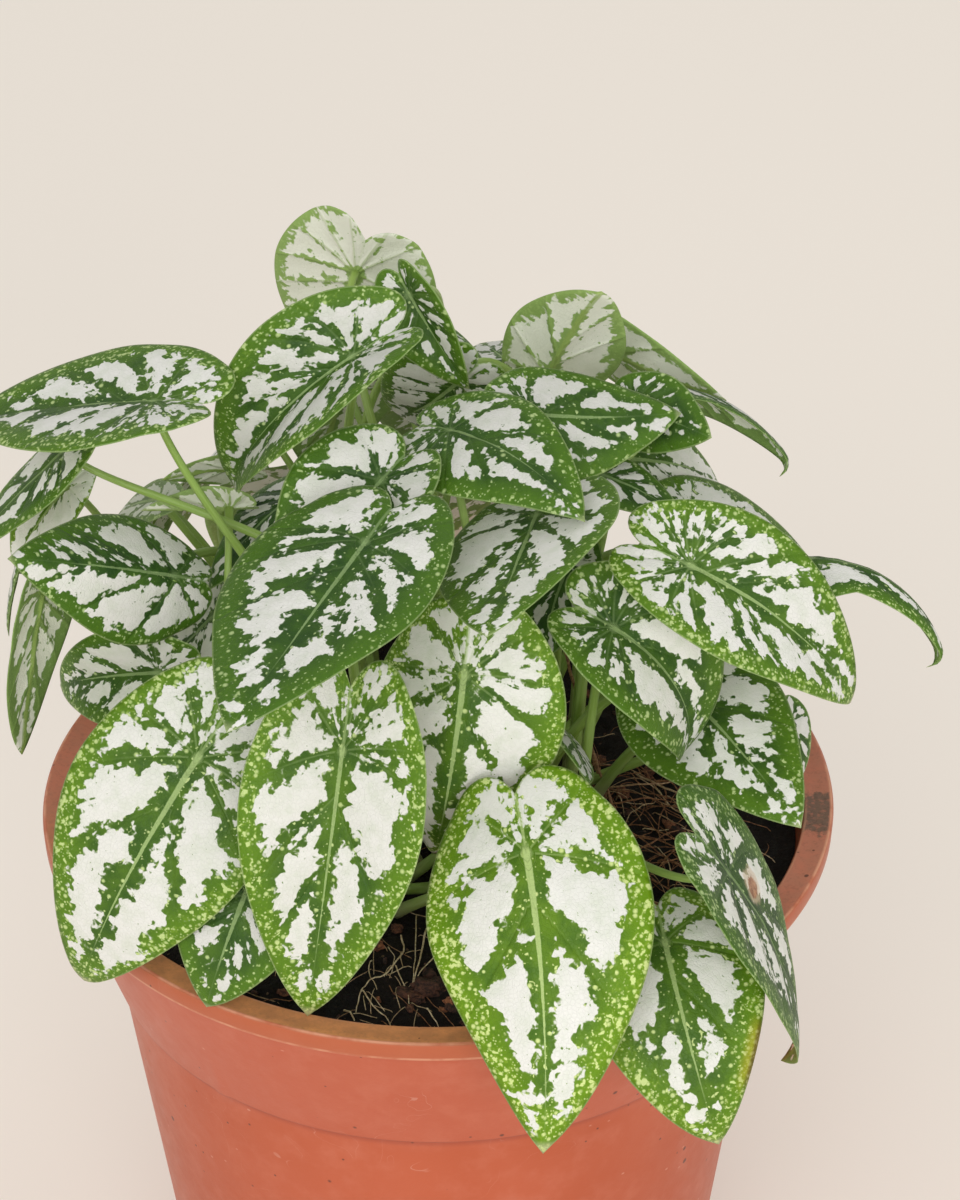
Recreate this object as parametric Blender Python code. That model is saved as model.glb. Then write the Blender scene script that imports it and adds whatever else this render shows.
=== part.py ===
"""Potted caladium: a white-patterned dwarf caladium growing in a round plastic
nursery pot.

Units are metres, +Z is up.  The origin is the centre of the pot's flat base.
Lengths in the tables below are millimetres and angles are degrees, and both
are turned into metres and radians where they are used.

Each leaf is one organ: a peltate blade with its stalk growing out of the
underside, down to the soil.  Every blade comes from the same outline and the
same rule for droop, fold and arch, and only its design row changes.
"""
import bpy
import bmesh
import math
import numpy as np
from mathutils import Vector

# ------------------------------------------------------------------ start empty
for old in list(bpy.data.objects):
    bpy.data.objects.remove(old, do_unlink=True)

MM = 0.001

# ------------------------------------------------------------ driving dimensions
POT_HEIGHT = 140.0          # base to rim crest
POT_BASE_R = 60.0           # outer radius at the base
POT_STEP_R = 72.1           # outer radius under the step
POT_STEP_Z = 102.6          # height of the step
POT_COLLAR_R = 73.3         # outer radius over the step
POT_COLLAR_TOP_R = 84.0     # outer radius where the collar meets the lip
POT_LIP_Z = 135.4           # underside of the lip
POT_LIP_R = 85.9            # outer radius of the lip
POT_MOUTH_R = 79.5          # inner radius of the lip's flat top
POT_FLOOR = 2.2             # thickness of the pot's floor
POT_SEGMENTS = 48
DRAIN_COUNT = 6
DRAIN_R = 4.0
DRAIN_RING_R = 38.0

SOIL_TOP = 132.0            # height of the soil around the stalks
SOIL_EDGE = 130.6           # height of the soil at the wall
SOIL_FLAT_R = 42.0          # the flat middle that the stalks grow from
SOIL_GAP = 0.3              # clearance to the pot
SOIL_SEGMENTS = 40

BLADE_HALF = 0.4            # half of a blade's thickness
STALK_TOP_R = 0.95          # stalk radius under the blade
STALK_ROOT_R = 1.5          # stalk radius at the soil
STALK_STEPS = 6
STALK_SIDES = 7
STALK_GAP = 0.3             # clearance between a stalk's foot and the soil
NOTCH_BEND = 10.0           # how far the two fused lobes bend back, degrees

# One side of the blade's outline, in blade lengths (attachment to tip), with
# the attachment at 0, 0 and the tip at 1, 0.
NOTCH = (-0.215, 0.0)
SIDE = ((-0.305, 0.10), (-0.20, 0.262), (0.05, 0.372),
        (0.30, 0.373), (0.55, 0.287), (0.80, 0.153))
TIP = (1.0, 0.0)

# Leaf rows: name, attachment (x, y, z), heading, pitch and roll of the blade,
# blade length, width factor, droop of the midrib over its length, fold of the
# left half, fold of the right half, arch across the blade, stalk foot (x, y),
# how far the stalk leaves the blade squarely, how far it rises from the soil,
# and the lean of that rise (x, y).
LEAVES = (
    ("leaf_front_1", (18, -73, 177.5), -80, -33, 7, 60, 1.04, 46, 6, -42, 0.06,
     (-9, -34), 11, 16, (7, -15)),
    ("leaf_front_2", (-17.5, -65.5, 197), -108, -64, 18, 59, 0.87, 26, 28, 18, 0.15,
     (-12, -1), 32, 52, (-1, -38)),
    ("leaf_front_3", (-46.5, -56.5, 189), -138, -43, 30, 61, 0.91, 52, 2, 3, 0.24,
     (-27, -7), 27, 14, (-5, -17)),
    ("leaf_front_4", (6, -50, 204), -104, -62, 17, 49, 1.14, 62, -1, -42, 0.14,
     (-5, 18), 20, 32, (-9, -25)),
    ("leaf_crown_1", (-12.5, -52.5, 236.5), -117, -11, 21, 54, 1.07, 2, 36, -21, 0.55,
     (-4, -19), 17, 82, (-16, -44)),
    ("leaf_crown_2", (-10, -27.5, 235), -131, -24, 5, 35, 1.16, 25, 15, 23, -0.13,
     (-1, -5), 16, 44, (1, 1)),
    ("leaf_crown_3", (3.5, -16.5, 240), -45, 13, 7, 39.5, 0.92, 38, 35, -29, 0.28,
     (23, -14), 17, 33, (-6, -1)),
    ("leaf_crown_4", (20.5, -31, 229), -102, 2, -16, 47, 1.05, -1, 8, -5, 0.06,
     (12, -15), 13, 67, (-3, -11)),
    ("leaf_crown_5", (27.5, -12, 205.5), -125, -50, 8, 22, 1.01, 33, 0, 3, 0.14,
     (27, -7), 10, 58, (7, 0)),
    ("leaf_right_1", (51, -35, 219.5), -21, -17, -27, 49.5, 0.82, 62, 21, 8, 0.19,
     (0, 2), 11, 83, (33, 26)),
    ("leaf_right_2", (36, -34.5, 204.5), -15, -28, -15, 41, 1.04, 85, 30, 1, -0.05,
     (29, -19), 8, 46, (3, -9)),
    ("leaf_right_3", (51.5, -13.5, 175), -57, -6, -10, 42, 1.06, 21, 7, -7, 0.15,
     (33, 3), 10, 30, (11, -9)),
    ("leaf_right_4", (76.5, -17.5, 210), 0, -1, 14, 41.5, 0.96, 81, -21, -28, 0.17,
     (20, -5), 24, 62, (7, -11)),
    ("leaf_right_5", (75, -10, 164.5), -33, -65, -8, 16, 0.99, 31, -1, 0, 0.14,
     (25, 7), 10, 16, (23, -5)),
    ("leaf_right_6", (41, 7, 219), 28, -19, -37, 30.5, 1, 34, 3, 0, 0.15,
     (6, 15), 10, 25, (10, 2)),
    ("leaf_right_7", (54, -6.5, 212), 25, -22, -21, 37, 0.99, 25, 1, -2, 0.15,
     (27, 12), 6, 44, (14, -11)),
    ("leaf_right_8", (34.5, -8.5, 224.5), -18, -13, -7, 19.5, 1, 22, 1, 0, 0.15,
     (28, 2), 18, 76, (6, -7)),
    ("leaf_left_1", (-55, -16.5, 247), 157, -14, -13, 50.5, 1.02, 11, -2, 42, 0.49,
     (4, -19), 16, 48, (-22, 6)),
    ("leaf_left_2", (-75, -6, 229.5), -158, -38, -5, 31, 0.93, 6, 0, -5, 0.16,
     (16, -21), 24, 97, (-2, -15)),
    ("leaf_left_3", (-75.5, -2, 218.5), -156, -44, 23, 21.5, 1.01, 22, 17, 20, 0.18,
     (-33, -4), 18, 19, (-9, 3)),
    ("leaf_left_4", (-52, -26, 212), -143, 29, 46, 39.5, 1, 11, -37, -20, 0.18,
     (-37, 25), 36, 30, (-20, -13)),
    ("leaf_left_5", (-78.5, -29, 211), -160, -78, -49, 39, 1.02, 3, -8, 9, 0.34,
     (-23, 18), 29, 86, (-18, 24)),
    ("leaf_left_6", (-88, 0, 197.5), -153, -70, -25, 16, 1, 19, -3, -9, 0.17,
     (-12, 19), 13, 23, (-18, -4)),
    ("leaf_left_7", (-56.5, -28, 190), 165, -13, 50, 31.5, 0.95, 46, 8, 42, 0.21,
     (-12, -15), 13, 35, (-35, -14)),
    ("leaf_left_8", (-46, -12, 193), -178, -46, 20, 30, 1, 28, -2, -1, 0.16,
     (-28, 2), 7, 44, (-7, -8)),
    ("leaf_top_1", (-15.5, -14, 255.5), -167, -30, 34, 46, 0.96, 63, 42, 42, 0.14,
     (-12, 5), 13, 91, (-15, 15)),
    ("leaf_top_2", (-16.5, 40.5, 245.5), 123, -65, -50, 51, 0.99, -25, 18, 16, 0.16,
     (0, 9), 22, 64, (1, 3)),
    ("leaf_top_3", (24, 26.5, 228.5), -57, 61, 27, 38, 0.96, 17, 10, 42, 0.43,
     (23, 18), 17, 53, (7, 0)),
    ("leaf_top_4", (34, 39.5, 228.5), -37, -9, 63, 33, 1.01, -9, 0, 12, 0.02,
     (18, 25), 16, 67, (7, 13)),
    ("leaf_top_5", (20, -8.5, 239), 15, -16, -30, 31, 1.12, -25, -5, -10, 0.29,
     (14, 2), 8, 83, (1, -6)),
    ("leaf_top_6", (41, 4, 234), -37, -5, -47, 20.5, 1.08, -15, -4, -8, 0.19,
     (-17, -10), 21, 81, (-11, -35)),
    ("leaf_top_7", (49.5, 15.5, 231.5), -2, -8, 32, 33.5, 0.96, 56, -21, -14, 0.1,
     (-13, -20), 24, 102, (-2, -28)),
    ("leaf_top_8", (-4.5, 10.5, 256), -39, -51, -60, 23, 0.99, 18, 42, 10, 0.11,
     (6, 23), 63, 68, (-17, 8)),
    ("leaf_top_9", (5, 12.5, 234.5), 146, -48, 111, 33, 1.01, 41, 0, 5, 0.14,
     (11, 23), 27, 71, (37, -7)),
    ("leaf_top_10", (-4.5, 28.5, 240), -17, -19, 7, 21.5, 1, 24, -2, 0, 0.16,
     (-13, 28), 26, 94, (-8, 14)),
    ("leaf_top_11", (18.5, 47, 216), 109, -4, 8, 32, 1, 22, -1, 0, 0.15,
     (29, 18), 14, 69, (8, 15)),
    ("leaf_rim_1", (-37, -67, 165), -123, -46, 22, 28.5, 1.21, 47, 5, -1, 0.11,
     (0, -25), 18, 11, (-1, -16)),
    ("leaf_rim_2", (46, -68.5, 151.5), -82, -14, -15, 46, 1.04, 85, -17, 8, 0.04,
     (12, -6), 16, 30, (11, -22)),
    ("leaf_rim_3", (58, -68, 168.5), 3, -57, -9, 56, 1.05, 31, 3, 4, 0.04,
     (4, -10), 21, 25, (18, 2)),
    ("leaf_rim_4", (27.5, -38, 180), -75, 3, 45, 16, 1, 9, -7, 0, 0.17,
     (-9, -25), 11, 18, (15, -7)),
    ("leaf_inner_1", (-42, -5.5, 215.5), 176, -4, -49, 18.5, 0.85, 0, 42, 33, 0.18,
     (-23, -14), 48, 57, (-21, -7)),
    ("leaf_inner_2", (-39.5, 2.5, 220), -178, 4, -48, 17, 1, 21, 13, -12, 0.15,
     (-21, -1), 13, 76, (-40, 37)),
    ("leaf_inner_3", (-57, 3.5, 212), 151, -20, 22, 16, 0.99, 33, 0, 3, 0.15,
     (-16, 25), 63, 21, (-8, -7)),
    ("leaf_inner_4", (-29, 1, 214.5), -141, -17, -7, 27, 1.01, 28, 0, -3, 0.12,
     (-16, 14), 13, 43, (-9, -8)),
    ("leaf_back_1", (5, 66, 202), 94, -46, -6, 50.5, 1, 23, -1, -3, 0.15,
     (-13, 24), 20, 34, (11, 10)),
    ("leaf_back_2", (43.5, 60.5, 200), 56, -38, -18, 47, 1.04, 26, -4, -5, 0.15,
     (7, 18), 27, 20, (9, 9)),
    ("leaf_back_3", (-41, 60.5, 199), 144, -47, 3, 46.5, 1, 22, -7, 5, 0.15,
     (-9, 14), 15, 53, (-12, 21)),
    ("leaf_back_4", (14.5, 87.5, 166.5), 85, -54, -1, 56, 1.01, 30, -8, -7, 0.15,
     (-2, 19), 22, 16, (7, 26)),
    ("leaf_back_5", (56.5, 71.5, 170.5), 37, -48, -2, 54, 1.02, 39, 6, -8, 0.15,
     (4, 30), 33, 21, (13, 7)),
    ("leaf_back_6", (-33.5, 80.5, 168), 113, -52, -8, 53.5, 0.96, 27, 8, -2, 0.15,
     (-9, 29), 24, 24, (-7, 16)),
    ("leaf_back_7", (71, 35.5, 171.5), 20, -42, -14, 45, 1.05, 37, 7, -4, 0.15,
     (6, 3), 19, 14, (24, 13)),
    ("leaf_back_8", (-75, 41, 172), 153, -45, 7, 48, 0.97, 35, 7, 1, 0.15,
     (-23, 14), 15, 14, (-19, 5)),
    ("leaf_back_9", (44.5, 45.5, 221.5), 43, -46, 3, 32.5, 1.01, 33, -5, 1, 0.15,
     (15, 18), 14, 31, (26, 19)),
    ("leaf_back_10", (-19, 44.5, 215), 114, -47, -4, 38, 0.95, 31, 8, -3, 0.15,
     (2, 21), 12, 47, (1, 5)),
    ("leaf_back_11", (-3.5, 57.5, 224.5), 81, -41, -26, 24, 0.97, 30, -1, 9, 0.15,
     (11, 27), 15, 20, (-3, 0)),
    ("leaf_back_12", (-59, 28.5, 195.5), 159, -57, 0, 36, 1.02, 32, 1, -4, 0.15,
     (-29, 6), 22, 12, (-2, 14)),
)


# ------------------------------------------------------------------- materials
def material(name, colour, roughness, metallic=0.0):
    mat = bpy.data.materials.new(name)
    mat.use_nodes = True
    bsdf = mat.node_tree.nodes["Principled BSDF"]
    bsdf.inputs["Base Color"].default_value = (*colour, 1.0)
    bsdf.inputs["Roughness"].default_value = roughness
    bsdf.inputs["Metallic"].default_value = metallic
    return mat


def add_object(name, bm, mat, smooth_angle=40.0):
    bmesh.ops.recalc_face_normals(bm, faces=bm.faces)
    mesh = bpy.data.meshes.new(name)
    bm.to_mesh(mesh)
    bm.free()
    mesh.materials.append(mat)
    mesh.shade_smooth()
    mesh.set_sharp_from_angle(angle=math.radians(smooth_angle))
    obj = bpy.data.objects.new(name, mesh)
    bpy.context.scene.collection.objects.link(obj)
    return obj


def turned(profile, segments):
    """Closed solid of revolution from (radius, height) points in millimetres.
    The profile starts and ends on the axis."""
    bm = bmesh.new()
    verts = [bm.verts.new((r * MM, 0.0, z * MM)) for r, z in profile]
    edges = [bm.edges.new((verts[i], verts[i + 1])) for i in range(len(verts) - 1)]
    bmesh.ops.spin(bm, geom=verts + edges, cent=(0, 0, 0), axis=(0, 0, 1),
                   angle=2 * math.pi, steps=segments, use_merge=True)
    bmesh.ops.remove_doubles(bm, verts=bm.verts, dist=1e-5)
    return bm


# ----------------------------------------------------------------------- blade
def blade_axes(heading, pitch, roll):
    """Along the midrib, square to the blade, and towards the blade's left."""
    a, p, r = math.radians(heading), math.radians(pitch), math.radians(roll)
    along = np.array((math.cos(p) * math.cos(a), math.cos(p) * math.sin(a), math.sin(p)))
    up0 = np.array((-math.sin(p) * math.cos(a), -math.sin(p) * math.sin(a), math.cos(p)))
    left0 = np.cross(up0, along)
    up = math.cos(r) * up0 + math.sin(r) * left0
    return along, up, np.cross(up, along)


class Blade:
    """A blade's middle surface: position and normal at (u, v), in blade lengths."""

    def __init__(self, at, heading, pitch, roll, length, width, droop, fold_l, fold_r, arch):
        self.at = np.array(at, float)
        self.length, self.width, self.arch = length, width, arch
        self.droop = math.radians(droop) or 1e-4
        self.folds = (math.radians(fold_l), math.radians(fold_r))
        self.axes = blade_axes(heading, pitch, roll)

    def point(self, u, v):
        along, up, left = self.axes
        v = v * self.width
        bend = self.droop if u >= 0 else math.radians(NOTCH_BEND) / 0.3
        turn = bend * u
        run, rise = math.sin(turn) / bend, -(1 - math.cos(turn)) / bend
        fold = self.folds[0] if v >= 0 else self.folds[1]
        side = v * math.cos(fold)
        crease = 0.03
        lift = (math.sqrt(v * v + crease * crease) - crease) * math.sin(fold) - self.arch * v * v
        lifted = math.sin(turn) * along + math.cos(turn) * up
        return self.at + self.length * (run * along + rise * up + side * left + lift * lifted)

    def normal(self, u, v, h=0.01):
        n = np.cross(self.point(u + h, v) - self.point(u - h, v),
                     self.point(u, v + h) - self.point(u, v - h))
        return n / np.linalg.norm(n)


def stalk_line(blade, foot, square, rise, lean, steps):
    """Centres along a stalk: it leaves the blade squarely and lands on the soil."""
    up = blade.axes[1]
    p0 = blade.at - BLADE_HALF * up
    p1 = p0 - up * square
    p3 = np.array((foot[0], foot[1], SOIL_TOP + STALK_GAP))
    p2 = p3 + np.array((lean[0], lean[1], rise))
    line = []
    for k in range(steps + 1):
        t = k / steps
        s = 1 - t
        line.append(s ** 3 * p0 + 3 * s * s * t * p1 + 3 * s * t * t * p2 + t ** 3 * p3)
    return line


def leaf(name, at, heading, pitch, roll, length, width, droop, fold_l, fold_r, arch,
         foot, square, rise, lean, mat):
    blade = Blade(at, heading, pitch, roll, length, width, droop, fold_l, fold_r, arch)
    outline = [NOTCH] + list(SIDE) + [TIP] + [(u, -v) for u, v in reversed(SIDE)]
    middle = [(0.5 * u, 0.5 * v) for u, v in outline]
    ring = 1.15 / length
    inner = [(ring * math.cos(math.pi - 2 * math.pi * j / STALK_SIDES),
              ring * math.sin(math.pi - 2 * math.pi * j / STALK_SIDES))
             for j in range(STALK_SIDES)]
    bm = bmesh.new()

    def sheet(side):
        return [[bm.verts.new(Vector(blade.point(u, v) + side * BLADE_HALF * blade.normal(u, v)) * MM)
                 for u, v in loop] for loop in (inner, middle, outline)]

    top, low = sheet(1.0), sheet(-1.0)
    n, m = len(outline), STALK_SIDES
    for rings, flip in ((top, False), (low, True)):
        a, b, c = rings
        tris = []
        for j in range(n):
            k = (j + 1) % n
            hub = a[(j // 2 if j % 2 == 0 else (j + 1) // 2) % m]
            tris.append((hub, b[j], b[k]))
            tris.append((b[j], c[j], c[k]))
            tris.append((b[j], c[k], b[k]))
        for i in range(m):
            tris.append((a[i], b[2 * i + 1], a[(i + 1) % m]))
        for tri in tris:
            bm.faces.new(tri[::-1] if flip else tri)
    bm.faces.new(top[0])
    for j in range(n):
        k = (j + 1) % n
        bm.faces.new((top[2][j], low[2][j], low[2][k]))
        bm.faces.new((top[2][j], low[2][k], top[2][k]))

    # the stalk is drawn out of the underside's middle face, ring by ring
    line = stalk_line(blade, foot, square, rise, lean, STALK_STEPS)
    seat = bm.faces.new(low[0])
    side = -blade.axes[0]
    loops = list(low[0])
    for k in range(1, STALK_STEPS + 1):
        ahead = line[min(k + 1, STALK_STEPS)] - line[max(k - 1, 0)]
        ahead = ahead / np.linalg.norm(ahead)
        if k == 1:
            first = line[1] - line[0]
            first = first / np.linalg.norm(first)
            side = side - side.dot(first) * first
            side = side / np.linalg.norm(side)
        side = side - side.dot(ahead) * ahead
        side = side / np.linalg.norm(side)
        across = np.cross(ahead, side)
        radius = STALK_TOP_R + (STALK_ROOT_R - STALK_TOP_R) * k / STALK_STEPS
        out = bmesh.ops.extrude_discrete_faces(bm, faces=[seat])
        seat = out["faces"][0]
        new = list(seat.verts)
        # keep the new ring in step with the ring it grew from
        order = []
        for old in loops:
            near = min(new, key=lambda w: (w.co - old.co).length)
            order.append(near)
            new.remove(near)
        for j, vert in enumerate(order):
            angle = 2 * math.pi * j / STALK_SIDES
            spot = line[k] + radius * (math.cos(angle) * side + math.sin(angle) * across)
            if k == STALK_STEPS:
                spot[2] = SOIL_TOP + STALK_GAP
            vert.co = Vector(spot) * MM
        loops = order
    bmesh.ops.triangulate(bm, faces=[f for f in bm.faces if len(f.verts) > 3], quad_method="FIXED")
    return add_object(name, bm, mat, 60.0)


# ------------------------------------------------------------------------- pot
pot_profile = (
    (0.0, 0.0), (POT_BASE_R - 1.0, 0.0), (POT_BASE_R, 1.0),
    (POT_STEP_R, POT_STEP_Z), (POT_COLLAR_R, POT_STEP_Z + 0.8),
    (POT_COLLAR_TOP_R, POT_LIP_Z), (POT_LIP_R - 0.9, POT_LIP_Z + 0.1),
    (POT_LIP_R - 0.2, POT_LIP_Z + 0.8), (POT_LIP_R, POT_HEIGHT - 0.5),
    (POT_LIP_R - 0.5, POT_HEIGHT), (POT_MOUTH_R + 0.4, POT_HEIGHT - 0.5),
    (POT_MOUTH_R, POT_HEIGHT - 1.0), (POT_MOUTH_R - 0.5, 135.0),
    (POT_MOUTH_R - 0.8, 131.0), (71.2, POT_STEP_Z + 0.9), (70.2, POT_STEP_Z - 0.4),
    (POT_BASE_R - 1.8, POT_FLOOR), (0.0, POT_FLOOR),
)
pot_mat = material("terracotta_plastic", (0.58, 0.13, 0.075), 0.42)
pot = add_object("pot", turned(pot_profile, POT_SEGMENTS), pot_mat, 30.0)

# drain holes, cut by six upright cylinders joined in one cutter
cut = bmesh.new()
for i in range(DRAIN_COUNT):
    angle = 2 * math.pi * (i + 0.5) / DRAIN_COUNT
    made = bmesh.ops.create_cone(cut, cap_ends=True, cap_tris=False, segments=16,
                                 radius1=DRAIN_R * MM, radius2=DRAIN_R * MM, depth=0.012)
    bmesh.ops.translate(cut, verts=made["verts"],
                        vec=(DRAIN_RING_R * MM * math.cos(angle), DRAIN_RING_R * MM * math.sin(angle), 0.0))
cutter = add_object("drain_cutter", cut, pot_mat)
cutter.hide_render = True
cutter.display_type = "WIRE"
drains = pot.modifiers.new("drain_holes", "BOOLEAN")
drains.operation = "DIFFERENCE"
drains.solver = "EXACT"
drains.object = cutter

# ------------------------------------------------------------------------ soil
soil_profile = (
    (0.0, POT_FLOOR + SOIL_GAP), (POT_BASE_R - 2.2, POT_FLOOR + SOIL_GAP),
    (70.2 - 0.36, POT_STEP_Z - 0.2), (71.2 - 0.36, POT_STEP_Z + 1.1),
    (POT_MOUTH_R - 0.85 - 0.36, SOIL_EDGE), (62.0, SOIL_EDGE + 0.5),
    (SOIL_FLAT_R, SOIL_TOP), (0.0, SOIL_TOP),
)
add_object("soil", turned(soil_profile, SOIL_SEGMENTS),
           material("dark_soil", (0.018, 0.011, 0.008), 0.95), 30.0)

# ---------------------------------------------------------------------- leaves
for row in LEAVES:
    leaf(*row, material(row[0] + "_green", (0.09, 0.2, 0.05), 0.45))
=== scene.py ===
"""Looks of the potted caladium: leaf blades with ragged white patches, stalks, moist soil with fine roots, and a
terracotta-coloured plastic pot.  Everything is in metres in the frame's own coordinates."""
import bpy
import bmesh
import math
import numpy as np
from mathutils import Matrix, Vector, noise


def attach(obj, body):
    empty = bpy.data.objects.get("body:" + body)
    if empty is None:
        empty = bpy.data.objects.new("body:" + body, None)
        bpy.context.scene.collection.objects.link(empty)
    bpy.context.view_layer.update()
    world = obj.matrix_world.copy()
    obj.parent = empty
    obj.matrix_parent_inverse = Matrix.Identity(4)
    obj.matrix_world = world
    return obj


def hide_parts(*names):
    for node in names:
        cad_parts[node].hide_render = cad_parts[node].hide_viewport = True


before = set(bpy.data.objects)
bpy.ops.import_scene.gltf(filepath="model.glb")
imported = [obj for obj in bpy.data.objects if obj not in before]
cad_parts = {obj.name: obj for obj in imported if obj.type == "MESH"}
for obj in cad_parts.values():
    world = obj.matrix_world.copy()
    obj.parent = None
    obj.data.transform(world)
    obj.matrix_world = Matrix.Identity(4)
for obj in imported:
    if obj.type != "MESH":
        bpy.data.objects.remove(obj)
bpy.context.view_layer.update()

MM = 0.001
SOIL_TOP = 132.0
STALK_GAP = 0.3
CAD_HALF = 0.4

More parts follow.
